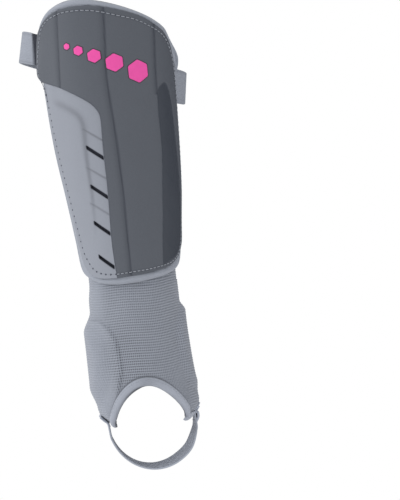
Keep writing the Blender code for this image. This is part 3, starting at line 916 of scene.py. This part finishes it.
def make_pad():
    """The foam pad: a rounded rim outside the shell and a thin pocket for each strap end."""
    outline = smooth_line(chart(PAD_EDGE, PAD_HALF), 0.0022, closed=True)

    def bulge(points):
        along = bell(points[:, 1] - RIM_BULGE_HEIGHT, RIM_BULGE_REACH)
        return RIM_BULGE * smooth_step((chart_turn(points[:, 0]) - 70) / 17) * along

    def from_strap(points):
        turns = chart_turn(points[:, 0])
        rise = points[:, 1] - strap_middle(turns)
        over = rise - STRAP_WIDTH / 2
        return turns, rise, (turns > 76) & (over > -RIM_OVERLAP) & (over < RIM_CLEARANCE)

    def outer(points, gap):
        crown = RIM_CROWN * bell(gap - RIM_CROWN_PLACE, RIM_CROWN_PLACE)
        profile = PAD_OUTER + crown - RIM_FALL * rounded(gap, RIM_ROUND)
        turns, rise, over = from_strap(points)
        pocket = (np.abs(rise) < STRAP_WIDTH / 2 + 0.0002) & (np.abs(turns) > STRAP_TUCK_TURN - 2)
        full = profile + bulge(points)
        face = np.where(pocket, np.minimum(profile, STRAP_OUTER - STRAP_WALL - 0.0002), full)
        return np.where(over, np.maximum(full, STRAP_OUTER + 0.0014), face)

    def inner(points, gap):
        back = PAD_INNER + 0.8 * rounded(gap, 0.0016) + 0.8 * bulge(points)
        return np.where(from_strap(points)[2], np.maximum(back, STRAP_OUTER + 0.0002), back)

    # Painted shadow of the shell's edge: dark under the shell and just outside its edge
    def dark(points, gap):
        return on_face(smooth_step((inside_distance(points, SHELL_EDGE) + 0.0006) / 0.0012))

    material = cloth_material("pad_cloth", PAD_COLOR, 1.1, 0.00018, "dark")
    pad = bent_plate("foam_pad_rim", outline, [], (0, 0.0004, 0.0009, 0.0016, 0.0024, 0.0034),
                     0.0017, inner, outer, material, {"dark": dark})
    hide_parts("foam_pad")


def add_bodies(name, bodies, material, outward):
    """Small closed bodies joined in one mesh. Each is its rings of points, from end to end."""
    verts, faces = [], []
    for rings in bodies:
        sides = len(rings[0])
        base, last = len(verts), len(verts) + (len(rings) - 1) * sides
        verts += [point for ring in rings for point in ring]
        for a in range(base, last):
            b = a + 1 if (a + 1 - base) % sides else a + 1 - sides
            faces.append((a, b, b + sides, a + sides) if outward else (a, a + sides, b + sides, b))
        caps = [list(range(base, base + sides)), list(range(last, last + sides))]
        caps[0 if outward else 1].reverse()
        faces += caps
    maps = np.array([(v[0], v[2]) for v in verts])
    return finish_mesh(name, verts, faces, maps, material)


THREAD_FORM = ((0.0, -0.9, 0.55), (0.08, 0.1, 0.9), (0.28, 0.55, 1.0), (0.72, 0.55, 1.0),
               (0.92, 0.1, 0.9), (1.0, -0.9, 0.55))


def circle(first, second, sides):
    """The ways round a circle between two crossing ways."""
    angles = [2 * math.pi * k / sides for k in range(sides)]
    return [first * math.cos(angle) + second * math.sin(angle) for angle in angles]


def add_capsules(name, dashes, radius, material):
    """Short threads joined in one mesh. Each dash is a start, an end and the way up."""
    bodies = []
    for start, end, up in dashes:
        start, end, up = np.array(start), np.array(end), np.array(up)
        ways = circle(np.cross(up, unit(end - start)), up, 6)
        bodies.append([[start + (end - start) * share + up * lift * radius + way * radius * size
                        for way in ways] for share, lift, size in THREAD_FORM])
    return add_bodies(name, bodies, material, False)


def add_dimples(name, marks, size, material):
    """Small round marks joined in one mesh. Each mark is a place and the way out."""
    bodies = []
    for point, up in marks:
        side = unit(np.cross(up, (0, 0, 1)))
        ways = circle(side, np.cross(side, up), 8)
        bodies.append([[point + up * lift + way * size * share for way in ways]
                       for lift, share in ((-0.0004, 1.0), (0.00003, 0.95), (0.00009, 0.5))])
    return add_bodies(name, bodies, material, True)


def sewn_run(places, offset, mark_offset):
    """Dashes between neighbouring places of the chart, and the needle marks between them."""
    lift = corner_lift(places)
    dashes = []
    for k in range(len(places) - 1):
        ends = []
        for share in (0.12, 0.88):
            x, height = places[k] + (places[k + 1] - places[k]) * share
            ends.append(leg_frame(chart_turn(x), height,
                                  offset + lift[k] * (1 - share) + lift[k + 1] * share))
        dashes.append((ends[0][0], ends[1][0], ends[0][1]))
    marks = [leg_frame(chart_turn(x), height, mark_offset + rise)[:2]
             for (x, height), rise in zip(places, lift)]
    return dashes, marks


def make_stitches():
    """The thread that sews the shell to the pad, closer on the plate than on the panel."""
    loop = shell_line(STITCH_LINE, 0.001, closed=True)
    _, _, side = line_distance(loop, shell_line(SEAM))
    left = (side < 0) & (loop[:, 1] < 0.49 * SHELL_HALF) & (loop[:, 0] < 0)
    first = int(np.argmax(left & ~np.roll(left, 1)))
    loop, left = np.roll(loop, -first, axis=0), np.roll(left, -first)
    count = int(np.argmin(left))
    panel_run = even_line(loop[:count], PANEL_STITCH_PITCH)
    plate_run = even_line(np.vstack([loop[count - 1:], loop[:1]]), PLATE_STITCH_PITCH)
    holes = plain_material("needle_shadow", tint(DARK_COLOR, 1.8), 0.9)
    kinds = (("plate", "front_plate", plate_run, 0.00022, 0.00014, THREAD_COLOR, PLATE_THREAD,
              PLATE_MARK),
             ("panel", "vent_panel", panel_run, 0.00050, 0.00004, tint(PANEL_COLOR, 0.95),
              PANEL_THREAD, PANEL_MARK))
    for kind, slot, run, depth, mark_depth, color, radius, mark_radius in kinds:
        dashes, marks = sewn_run(run, SHELL_OUTER - depth, SHELL_OUTER - mark_depth)
        thread = plain_material(kind + "_thread", color, 0.7)
        add_capsules(kind + "_stitching", dashes, radius, thread)
        add_dimples(kind + "_needle_marks", marks, mark_radius, holes)
    back_run = even_line(np.vstack([loop, loop[:1]]), PLATE_STITCH_PITCH)
    dashes = []
    for place, after in zip(back_run[:-1], back_run[1:]):
        if min(place[1], after[1]) > SLEEVE_TOP + 0.002:
            ends = [leg_frame(chart_turn(x), height, PAD_INNER + 0.0001)
                    for x, height in (place * 0.88 + after * 0.12, place * 0.12 + after * 0.88)]
            dashes.append((ends[0][0], ends[1][0], -ends[0][1]))
    back = add_capsules("lining_stitching", dashes, PLATE_THREAD,
                        plain_material("lining_thread", tint(PAD_COLOR, 0.45), 0.8))


def hexagon(centre, size):
    """A six-sided outline on the chart, its sides split for the rings."""
    angles = [math.radians(60 * k + 30) for k in range(6)]
    corners = [np.array(centre) + size * np.array((math.cos(angle), math.sin(angle)))
               for angle in angles]
    return np.array([corner + (corners[(k + 1) % 6] - corner) * share
                     for k, corner in enumerate(corners) for share in (0.08, 0.36, 0.64, 0.92)])


MOTIF_START = (-0.0320, 0.0755)
MOTIF_SLOPE = -0.50
MOTIF_SIZES = (0.0026, 0.0039, 0.0054, 0.0071, 0.0090)
MOTIF_GAP = 0.0032


def make_motif():
    """A plain row of pink six-sided studs in the place of a badge."""
    pink = plain_material("motif_pink", PINK_COLOR, 0.42)
    border = plain_material("motif_border", tint(PLATE_COLOR, 0.45), 0.5)
    centre = np.array(MOTIF_START)
    way = unit(np.array((1.0, MOTIF_SLOPE)))
    for k, size in enumerate(MOTIF_SIZES):
        if k:
            centre = centre + way * (MOTIF_SIZES[k - 1] + size + MOTIF_GAP)
        for kind, extra, top, material in (("border", 0.0009, 0.00010, border),
                                           ("stud", 0.0, 0.00035, pink)):
            piece = bent_plate(
                f"motif_{kind}_{k + 1}", hexagon(centre, size + extra), [], (0, 0.0002, 0.0005),
                0.0015, lambda points, gap: np.full(len(points), SHELL_OUTER - 0.0010),
                lambda points, gap, lift=top: SHELL_OUTER + lift - rounded(gap, 0.0002), material)


def band_shares(cells):
    """Where the points of a flat section lie across it, from -1 to 1, closer at its edges."""
    return np.sin(math.pi / 2 * (2 * np.arange(cells + 1) / cells - 1))


def band_ring(middle, across, out, width, thickness, cells):
    """A flat section with rounded sides, as a ring: along one face and back along the other."""
    half, deep = width / 2, thickness / 2
    shares = band_shares(cells)[:, None]
    over = np.clip((np.abs(shares) * half - half + deep) / deep, 0, 1)
    flat = middle + across * shares * half
    lift = out * deep * np.sqrt(1 - over ** 2)
    return np.vstack([flat + lift, (flat - lift)[::-1]])


def make_calf_strap():
    """The elastic strap round the calf, its ends behind the shell's edges."""
    turns = np.arange(STRAP_TUCK_TURN, 360 - STRAP_TUCK_TURN + 0.1, 2.0)
    centres, outs, ups = leg_frame(turns, strap_middle(turns), STRAP_OUTER - STRAP_WALL / 2)
    left = wrapped(turns) < 0
    away = np.abs(wrapped(turns))
    free = smooth_step((away - STRAP_HELD_TURN) / (STRAP_FREE_TURN - STRAP_HELD_TURN))
    leans = np.where(left, STRAP_LEAN, STRAP_RIGHT_LEAN)
    leans = unit(np.stack([leans, 0 * leans, 1 + 0 * leans], axis=1))
    acrosses = unit(ups + (leans - ups) * free[:, None])
    outs = unit(outs - acrosses * np.sum(outs * acrosses, axis=1)[:, None])
    centres[:, 0] += STRAP_SHIFT * free
    rings = [band_ring(*way, STRAP_WIDTH, STRAP_WALL, 24) for way in zip(centres, acrosses, outs)]
    # Painted shade on the strap's left end, dark where it passes under the shell's edge
    tuck_shade = np.where(left, 1 - smooth_step((away - STRAP_SHADE_TURN) / STRAP_SHADE_FADE), 0.0)
    material = webbing_material("strap_elastic", STRAP_COLOR, 0.00030)
    strap = webbing_piece("calf_strap_elastic", rings, material, tuck_shade)
    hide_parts("calf_strap")


def ankle_share(turns, heights):
    """How far inside the ankle discs a place is: 0 at their edge, 1 at their middle."""
    across = (np.abs(wrapped(turns)) - 90) * math.radians(1) * LEG_SIDE / (ANKLE_PAD_WIDTH / 2)
    along = (heights - PAD_FOOT + ANKLE_PAD_DROP) / (ANKLE_PAD_HEIGHT / 2)
    return 1 - np.hypot(across, along)


def ankle_bulge(turns, heights):
    """How far the ankle discs push the sleeve out."""
    share = ankle_share(turns, heights) / (1 - ANKLE_PAD_FLAT)
    steep = 1.35 + 0.65 * smooth_step((heights - PAD_FOOT + ANKLE_PAD_DROP) / 0.02)
    return np.where(wrapped(turns) < 0, INNER_ANKLE_BULGE * smooth_step(share),
                    OUTER_ANKLE_BULGE * smooth_step(steep * share))


def disc_side(turns, heights):
    """How far inside the inner disc's front edge a place is, and a fade at the edge's ends."""
    turns, heights = np.broadcast_arrays(wrapped(turns), np.asarray(heights, float))
    points = np.stack([np.radians(turns).ravel() * DISC_RADIUS, heights.ravel()], axis=1)
    line = [(math.radians(turn) * DISC_RADIUS, height) for turn, height in DISC_EDGE]
    gap, place, side = line_distance(points, smooth_line(line, 0.002))
    left = np.where(side < 0, gap, -gap)
    ends = smooth_step(place / 0.15) * smooth_step((1 - place) / 0.15)
    return left.reshape(turns.shape), ends.reshape(turns.shape)


def disc_step(turns, heights):
    """The soft step at the front edge of the inner ankle disc, over the smooth bulge."""
    left, ends = disc_side(turns, heights)
    step = smooth_step(left / 0.0026 + 0.5) * np.exp(-np.maximum(left, 0) / 0.016)
    return DISC_STEP * step * ends


def lobe_flare(turns, heights):
    """How far the lobes at the lower edge stand out from the leg's form."""
    turns = wrapped(turns)
    rise = heights - LOBE_FOOT
    left = LEFT_LOBE_FLARE * smooth_step((-turns - 50) / 30) * bell(rise - 0.0140, 0.0170)
    right = RIGHT_LOBE_FLARE * smooth_step((turns - 45) / 30) * bell(rise - 0.0120, 0.0130)
    return left + right


def sleeve_outer(turns, heights):
    """How far the sleeve's outer face is off the leg, without its ribs."""
    creases = CREASE_HEIGHT * np.sin(np.radians(np.asarray(turns) * 5 + 40))
    creases = creases * smooth_step((heights - PAD_FOOT + 0.045) / 0.04)
    outer = (SLEEVE_WALL + ankle_bulge(turns, heights) + disc_step(turns, heights)
             + lobe_flare(turns, heights) + creases)
    return np.where(heights > PAD_FOOT - 0.003, np.minimum(outer, SLEEVE_WALL), outer)


def arch_heights(turns):
    """The sleeve's lower edge: an arch over the instep and one over the heel."""
    front = wrapped(turns) - ARCH_MIDDLE
    back = np.abs(wrapped(np.asarray(turns) - HEEL_ARCH_TURN))
    at_front = np.abs(front) < 90
    half = np.where(front > 0, ARCH_RIGHT_TURN, ARCH_LEFT_TURN)
    half = np.where(at_front, half, HEEL_HALF_TURN)
    rise = np.where(at_front, INSTEP_ARCH_RISE, HEEL_ARCH_RISE)
    share = np.minimum(np.where(at_front, np.abs(front), back) / half, 1.0)
    fullness = np.where(at_front, ARCH_FRONT_FULLNESS, ARCH_FULLNESS)
    return LOBE_FOOT + rise * (1 - share ** 2) ** fullness


SLEEVE_COLUMNS = 180
SLEEVE_ROWS = 400
LINING_ROWS = 60
HEM_RUN = 0.09
HEM_RADIUS = 0.0008
RIB_HEIGHT = 0.00024
MAP_RADIUS = 0.0375


def sleeve_grid(rows):
    """Turns and heights of the sleeve from its top to its arched lower edge."""
    turns, shares = np.meshgrid(np.linspace(-180, 180, SLEEVE_COLUMNS, endpoint=False),
                                np.linspace(0, 1, rows))
    level = LOBE_FOOT + INSTEP_ARCH_RISE + 0.014
    split = (SLEEVE_TOP - level) / (SLEEVE_TOP - LOBE_FOOT - 0.4 * INSTEP_ARCH_RISE)
    upper = SLEEVE_TOP + (level - SLEEVE_TOP) * shares / split
    lower = level + (arch_heights(turns) - level) * (shares - split) / (1 - split)
    return turns, np.where(shares < split, upper, lower), shares


def tube_faces(rows, start, flip):
    """The faces of one layer of the sleeve."""
    faces = []
    for a in range(start, start + (rows - 1) * SLEEVE_COLUMNS):
        b = a + 1 if (a + 1 - start) % SLEEVE_COLUMNS else a + 1 - SLEEVE_COLUMNS
        quad = (a, a + SLEEVE_COLUMNS, b + SLEEVE_COLUMNS, b)
        faces.append(quad[::-1] if flip else quad)
    return faces


def make_sleeve():
    """The knit sleeve: ribs all round, bulges over the ankle discs, and its lining, with painted shade
    by the hem.
    """
    turns, heights, shares = sleeve_grid(SLEEVE_ROWS)
    waves = (RIB_WAVE * np.sin(np.radians(turns * 2 + 20))
             + RIB_RIPPLE * np.sin(np.radians(turns * 5)))
    rib = 0.5 + 0.5 * np.cos(2 * math.pi * (heights + waves) / RIB_PITCH)
    edge = rounded((1 - shares) * HEM_RUN, HEM_RADIUS) / 2
    outer = sleeve_outer(turns, heights) + RIB_HEIGHT * (rib - 1)
    top = leg_points(turns, heights, outer - edge).reshape(-1, 3)
    in_turns, in_heights, in_shares = sleeve_grid(LINING_ROWS)
    lining = sleeve_outer(in_turns, in_heights) - 0.9 * SLEEVE_WALL
    in_edge = rounded((1 - in_shares) * HEM_RUN, HEM_RADIUS) / 2
    low = leg_points(in_turns, in_heights, lining + in_edge).reshape(-1, 3)
    count, inner_count = len(top), len(low)
    faces = tube_faces(SLEEVE_ROWS, 0, False) + tube_faces(LINING_ROWS, count, True)
    last_top, last_low = count - SLEEVE_COLUMNS, count + inner_count - SLEEVE_COLUMNS
    for j in range(SLEEVE_COLUMNS):
        k = (j + 1) % SLEEVE_COLUMNS
        faces.append((j, k, count + k, count + j))
        faces.append((last_top + k, last_top + j, last_low + j, last_low + k))
    width = math.radians(1) * MAP_RADIUS
    maps = np.vstack([np.stack([around.ravel() * width, rises.ravel()], axis=1)
                      for around, rises in ((turns, heights), (in_turns, in_heights))])

    def corner_maps(loops):
        corners = maps[loops].reshape(-1, 4, 2)
        wide = corners[:, :, 0].max(axis=1) - corners[:, :, 0].min(axis=1) > 100 * width
        corners[:, :, 0] += np.where(wide[:, None] & (corners[:, :, 0] < 0), 360 * width, 0)
        return corners.reshape(-1, 2)

    net = NET_SHARE + 0.9 * bell(turns - NET_TURN, 30) * bell(heights - NET_HEIGHT, 0.032)
    net = np.clip(net * smooth_step((turns + 62) / 24) * smooth_step((85 - turns) / 30), 0, 1)
    # Painted shade just outside the inner disc's front edge
    left, ends = disc_side(turns, heights)
    beside = np.exp(-np.maximum(-left, 0) / 0.007) * smooth_step(-left / 0.0012 + 0.5) * ends
    # Painted shade: a dark line just above the arches' edge, under the tape, and the lining darkened by
    # the hem
    over_arch = arch_heights(turns)
    line = 0.7 * bell(heights - over_arch - 0.0014, 0.0020)
    line = line * smooth_step((over_arch - LOBE_FOOT) / 0.005)
    pairs = {"beside": (beside, np.zeros(inner_count)), "rib": (rib, np.full(inner_count, 0.5)),
             "net": (net, np.zeros(inner_count)),
             "inside": (line, smooth_step((1 - in_shares.ravel()) / 0.04))}
    attributes = {key: np.concatenate([outside.ravel(), within])
                  for key, (outside, within) in pairs.items()}
    sleeve = finish_mesh("ankle_sleeve_knit", np.vstack([top, low]), faces, corner_maps,
                         knit_material(), attributes, sharp=70)
    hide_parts("ankle_sleeve")
    return sleeve


BINDING_HALF_WIDTH = 0.0034
BINDING_HALF_DEPTH = 0.0024
BINDING_SIDES = 20
BINDING_STATIONS = 120
BINDING_THREAD = 0.00020
BINDING_DROP = 0.0023
BINDING_END_DROP = 0.0012
BINDING_UNDERSIDE = 0.0022
BINDING_STITCH_DROP = 0.00095
GROOVE_DEPTH = 0.00022
GROOVE_PLACE = 0.45
GROOVE_WIDTH = 0.16
FRONT_TAPE_GAP = 0.7
HEEL_TAPE_GAP = 1.0

# The tape's curled end on the right lobe
CURL_STATIONS = 12
CURL_TURNS = (42, 68)
CURL_DROP = 0.0015
CURL_RISE = 0.0009
CURL_WIDTH = 0.0052
CURL_WALL = 0.0028


def make_binding(node, middle, left_turn, right_turn):
    """The rolled tape over an arch's edge: a soft fold with a row of small stitches."""
    turns = middle + np.linspace(-left_turn, right_turn, BINDING_STATIONS)
    heights = arch_heights(turns)
    ends = smooth_step((np.abs(turns - middle) / left_turn - 0.86) / 0.14)
    turns = turns + ends * np.where(turns < middle, -6.0, 2.5)
    line = leg_points(turns, heights, sleeve_outer(turns, heights) - SLEEVE_WALL / 2)
    line[:, 2] -= BINDING_END_DROP * ends
    outs = unit(leg_points(turns, heights, 0.001) - leg_points(turns, heights, 0))
    downs = unit(np.cross(unit(np.gradient(line, axis=0)), outs))
    lengths = lengths_along(line)
    to_end = np.minimum(lengths, lengths[-1] - lengths)
    shrink = np.sqrt(np.maximum(0.04, 1 - np.maximum(0, 1 - to_end / BINDING_HALF_WIDTH) ** 2))[:, None]
    in_front = float(middle == ARCH_MIDDLE)
    under = in_front * bell(turns + 20, 36)[:, None]
    tone = 0.12 * (1 - smooth_step((turns + 2) / 34)) + 0.14 * in_front * bell(turns + 4, 16)
    angles = 2 * math.pi * np.arange(BINDING_SIDES) / BINDING_SIDES
    high, deep = np.cos(angles), np.sin(angles)
    groove = GROOVE_DEPTH * np.exp(-((high - GROOVE_PLACE) / GROOVE_WIDTH) ** 2) * (deep > 0)
    drop = BINDING_UNDERSIDE * under * np.maximum(0, -deep)
    down = BINDING_DROP + drop - BINDING_HALF_WIDTH * high * shrink
    out = BINDING_HALF_DEPTH * np.sign(deep) * np.abs(deep) ** 0.8 * shrink - groove
    rings = line[:, None] + downs[:, None] * down[..., None] + outs[:, None] * out[..., None]
    # Painted shade: dark on the tape's inner face, darker by its edges and under the instep arch's top,
    # and on the left and middle of the instep tape
    rim = (0.40 * np.maximum(0, high - 0.75) / 0.25
           + (0.20 + 0.70 * under) * np.maximum(0, -high - 0.70) / 0.30)
    inside = np.where(deep < -0.1, 0.80, np.maximum(rim, tone[:, None]))
    material = cloth_material(node + "_cloth", TAPE_COLOR, 0.8, 0.00014, "inside")
    tape = loft(node + "_tape", rings, material, {"inside": inside.ravel()}, sharp=60)
    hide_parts(node)
    if in_front:
        turned = np.linspace(*CURL_TURNS, CURL_STATIONS)
        rises = np.linspace(LOBE_FOOT - CURL_DROP, LOBE_FOOT + CURL_RISE, CURL_STATIONS)
        curl = leg_frame(turned, rises, sleeve_outer(turned, LOBE_FOOT + 0.001) + 0.0007)
        widths = CURL_WIDTH * np.sqrt(1 - np.linspace(-0.94, 0.94, CURL_STATIONS) ** 2)
        rings = [band_ring(point, up, out, width, CURL_WALL, 12)
                 for point, out, up, width in zip(*curl, widths)]
        plain = np.zeros(len(rings) * len(rings[0]))
        fold = loft(node + "_fold", rings, material, {"inside": plain})
    places = line + outs * (BINDING_HALF_DEPTH * 0.86) + downs * BINDING_STITCH_DROP
    dashes = [(places[k], places[k + 2], outs[k])
              for k in range(3, BINDING_STATIONS - 5, 3)]
    stitches = add_capsules(node + "_stitches", dashes, BINDING_THREAD,
                            plain_material(node + "_thread", tint(TAPE_COLOR, 0.80), 0.7))
    return [tape, stitches]


def stirrup_line():
    """The stirrup's centre line, down one lobe, under the foot and up the other lobe."""
    heights = np.linspace(LOBE_FOOT + STIRRUP_SEAM, LOBE_FOOT + 0.001, 4)
    seams = [leg_points(turn, heights, sleeve_outer(turn, heights) + STIRRUP_WALL / 2 + 0.0002)
             for turn in (-90.0, 90.0)]
    left, right = (leg_points(turn, LOBE_FOOT, STIRRUP_REACH) for turn in (-90, 90))
    half = (right[0] - left[0]) / 2
    angles = np.radians(np.arange(15, 166, 5))
    arc = (left + right) / 2 - np.stack([half * np.cos(angles), 0 * angles,
                                         STIRRUP_DEPTH * np.sin(angles)], axis=1)
    arc[:, 0] += STIRRUP_BULGE * bell(np.sin(angles) - 0.70, 0.25) * (angles > math.pi / 2)
    return even_line(smooth_line(np.vstack([seams[0], arc, seams[1][::-1]]), 0.001), 0.0016)


def ribbon_rings(line, width, thickness, twists):
    """Rings of a ribbon that lies across the foot, turned about its line by its twists."""
    rings = []
    for point, way, twist in zip(line, unit(np.gradient(line, axis=0)), twists):
        inward = -np.cross((0, 1.0, 0), way)
        across = np.array((0, math.cos(twist), 0)) + inward * math.sin(twist)
        rings.append(band_ring(point, across, np.cross(way, across), width, thickness, 20))
    return rings


def webbing_piece(name, rings, material, shade=0.0):
    """A loft of band rings in a webbing material, which has a sewn line by each edge."""
    stations, sides = len(rings), len(rings[0])
    inset = 1 - np.abs(band_shares(sides // 2 - 1)) - HEM_INSET
    hem = np.exp(-(inset / HEM_SPREAD) ** 2)
    # dark carries painted shade, given per station
    attributes = {"dark": np.repeat(np.zeros(stations) + shade, sides),
                  "hem": np.tile(np.concatenate([hem, hem[::-1]]), stations)}
    piece = loft(name, rings, material, attributes)
    return piece


def fold_line(side, rise, drop, out, bow):
    """The line of a fold outside a lobe, from one height over its foot to a lower one."""
    shares = np.linspace(0, 1, 14)
    heights = LOBE_FOOT + rise - drop * shares
    base = np.maximum(sleeve_outer(side * 90.0, heights), STIRRUP_REACH - 0.0014)
    lift = base + STIRRUP_WALL + out + bow * np.sin(math.pi * shares)
    line = leg_points(side * 90, heights, lift)
    return line if side < 0 else line[::-1]


def make_stirrup():
    """The strap under the foot, with its ends folded over outside the lobes."""
    material = webbing_material("stirrup_elastic", tint(STRAP_COLOR, 1.42), 0.00010)
    line = stirrup_line()
    shares = np.linspace(0, 1, len(line))
    edge = np.radians(STIRRUP_EDGE_TURN) * np.cos(math.pi * shares)
    turned = np.radians(STIRRUP_TWIST) * np.sin(math.pi * shares ** 1.75) ** 2
    # Painted shade along the stirrup: a little everywhere, most towards its right part and some on its
    # left part
    shade = 0.04 + 0.22 * bell(shares - 0.86, 0.12) + 0.12 * bell(shares - 0.20, 0.25)
    rings = ribbon_rings(line, STIRRUP_WIDTH, STIRRUP_WALL, edge + turned)
    strap = webbing_piece("stirrup_elastic", rings, material, shade)
    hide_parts("stirrup_strap")
    for name, wall, *fold in STIRRUP_FOLDS:
        rings = ribbon_rings(fold_line(*fold), STIRRUP_WIDTH * 0.94, wall, [0.0] * 14)
        webbing_piece("stirrup_fold_" + name, rings, material)
    dashes = []
    for side, rises, out in TACK_ROWS:
        for height in LOBE_FOOT + np.array(rises):
            base = sleeve_outer(side * 90.0, height)
            x = leg_points(side * 90, height, base + STIRRUP_WALL + out)[0]
            for y in TACK_START + TACK_PITCH * np.arange(TACK_COUNT):
                dashes.append(((x, y, height), (x, y + TACK_LENGTH, height), (side, 0, 0)))
    for turn, rise in LOBE_TACKS:
        height = LOBE_FOOT + rise
        point, out, up = leg_frame(turn, height, sleeve_outer(turn, height) + 0.0002)
        dashes.append((point - up * 0.0008, point + up * 0.0008, out))
    thread = plain_material("tack_thread", TACK_COLOR, 0.85)
    add_capsules("strap_tacks", dashes, TACK_THREAD, thread)


FLOOR_DROP = 0.060
KEY_SIZE = (0.8, 1.4)
KEY_POWER = 8.6
KEY_PLACE = (-1.45, -0.15, 0.35)
KEY_AIM = (0, 0, -0.05)
CARD_SIZE = 0.8
CARD_COLOR = (0.05, 0.05, 0.06)
CARD_PLACE = (0.75, 0.55, 0.0)


def stage_sheet(name, build, sizes, color, place):
    """A flat sheet of the studio that gives off even light."""
    shape = bmesh.new()
    build(shape, **sizes)
    mesh = bpy.data.meshes.new(name)
    shape.to_mesh(mesh)
    shape.free()
    material = bpy.data.materials.new(name + "_glow")
    material.use_nodes = True
    tree = material.node_tree
    tree.nodes.clear()
    glow = tree.nodes.new("ShaderNodeEmission")
    glow.inputs["Color"].default_value = (*color, 1)
    output = tree.nodes.new("ShaderNodeOutputMaterial")
    tree.links.new(glow.outputs[0], output.inputs["Surface"])
    mesh.materials.append(material)
    sheet = bpy.data.objects.new(name, mesh)
    sheet.location = place
    bpy.context.scene.collection.objects.link(sheet)
    return sheet


def make_studio():
    """An even white surround and floor, a soft key from the left and a dark card at the right."""
    floor = stage_sheet("studio_floor", bmesh.ops.create_circle,
                        {"cap_ends": True, "segments": 96, "radius": 6.0}, (1, 1, 1),
                        (0, 0, LOBE_FOOT - FLOOR_DROP))
    world = bpy.data.worlds.new("studio")
    bpy.context.scene.world = world
    world.use_nodes = True
    background = world.node_tree.nodes["Background"]
    background.inputs["Color"].default_value = (1, 1, 1, 1)
    background.inputs["Strength"].default_value = 1.0
    light = bpy.data.lights.new("key", "AREA")
    light.shape = "RECTANGLE"
    light.size, light.size_y = KEY_SIZE
    light.energy = KEY_POWER
    key = bpy.data.objects.new("key", light)
    key.location = KEY_PLACE
    aim = Vector(KEY_AIM) - key.location
    key.rotation_euler = aim.to_track_quat("-Z", "Y").to_euler()
    key.visible_camera = False
    bpy.context.scene.collection.objects.link(key)
    card = stage_sheet("dark_card", bmesh.ops.create_grid,
                       {"x_segments": 1, "y_segments": 1, "size": CARD_SIZE}, CARD_COLOR,
                       CARD_PLACE)
    card.rotation_euler = (-card.location).to_track_quat("Z", "Y").to_euler()
    card.visible_camera = False


PIXEL = 0.00078
CAMERA_DISTANCE = 2.3
CAMERA_TURN = math.radians(6.7)
CAMERA_DROP = math.radians(2.2)
CAMERA_ROLL = math.radians(7.5)
PHOTO_SIZE = (400, 500)
ORIGIN_PIXEL = (115.74, 140.07)


def make_camera():
    """The photograph's view: a long lens, slightly from the left, leaning with the guard."""
    forward = Vector((math.sin(CAMERA_TURN) * math.cos(CAMERA_DROP),
                      math.cos(CAMERA_TURN) * math.cos(CAMERA_DROP), -math.sin(CAMERA_DROP)))
    level = Vector((math.cos(CAMERA_TURN), -math.sin(CAMERA_TURN), 0))
    upright = level.cross(forward)
    right = level * math.cos(CAMERA_ROLL) - upright * math.sin(CAMERA_ROLL)
    up = level * math.sin(CAMERA_ROLL) + upright * math.cos(CAMERA_ROLL)
    shift_x, shift_y = ((size / 2 - place) * PIXEL for size, place in zip(PHOTO_SIZE, ORIGIN_PIXEL))
    camera = bpy.data.cameras.new("camera")
    camera.sensor_width = 36
    camera.lens = camera.sensor_width * CAMERA_DISTANCE / (PHOTO_SIZE[1] * PIXEL)
    camera.clip_end = 50
    holder = bpy.data.objects.new("camera", camera)
    turned = Matrix((right, up, -forward)).transposed().to_4x4()
    turned.translation = right * shift_x - up * shift_y - forward * CAMERA_DISTANCE
    holder.matrix_world = turned
    bpy.context.scene.collection.objects.link(holder)
    bpy.context.scene.camera = holder


def main():
    bpy.context.scene.view_settings.view_transform = "Standard"
    make_camera()
    make_studio()
    make_front_plate()
    make_vent_panel()
    make_pad()
    make_stitches()
    make_motif()
    make_calf_strap()
    sleeve = make_sleeve()
    trims = make_binding("instep_binding", ARCH_MIDDLE, ARCH_LEFT_TURN - FRONT_TAPE_GAP,
                         ARCH_RIGHT_TURN - FRONT_TAPE_GAP)
    heel_turn = HEEL_HALF_TURN - HEEL_TAPE_GAP
    trims += make_binding("heel_binding", HEEL_ARCH_TURN, heel_turn, heel_turn)
    make_stirrup()


main()
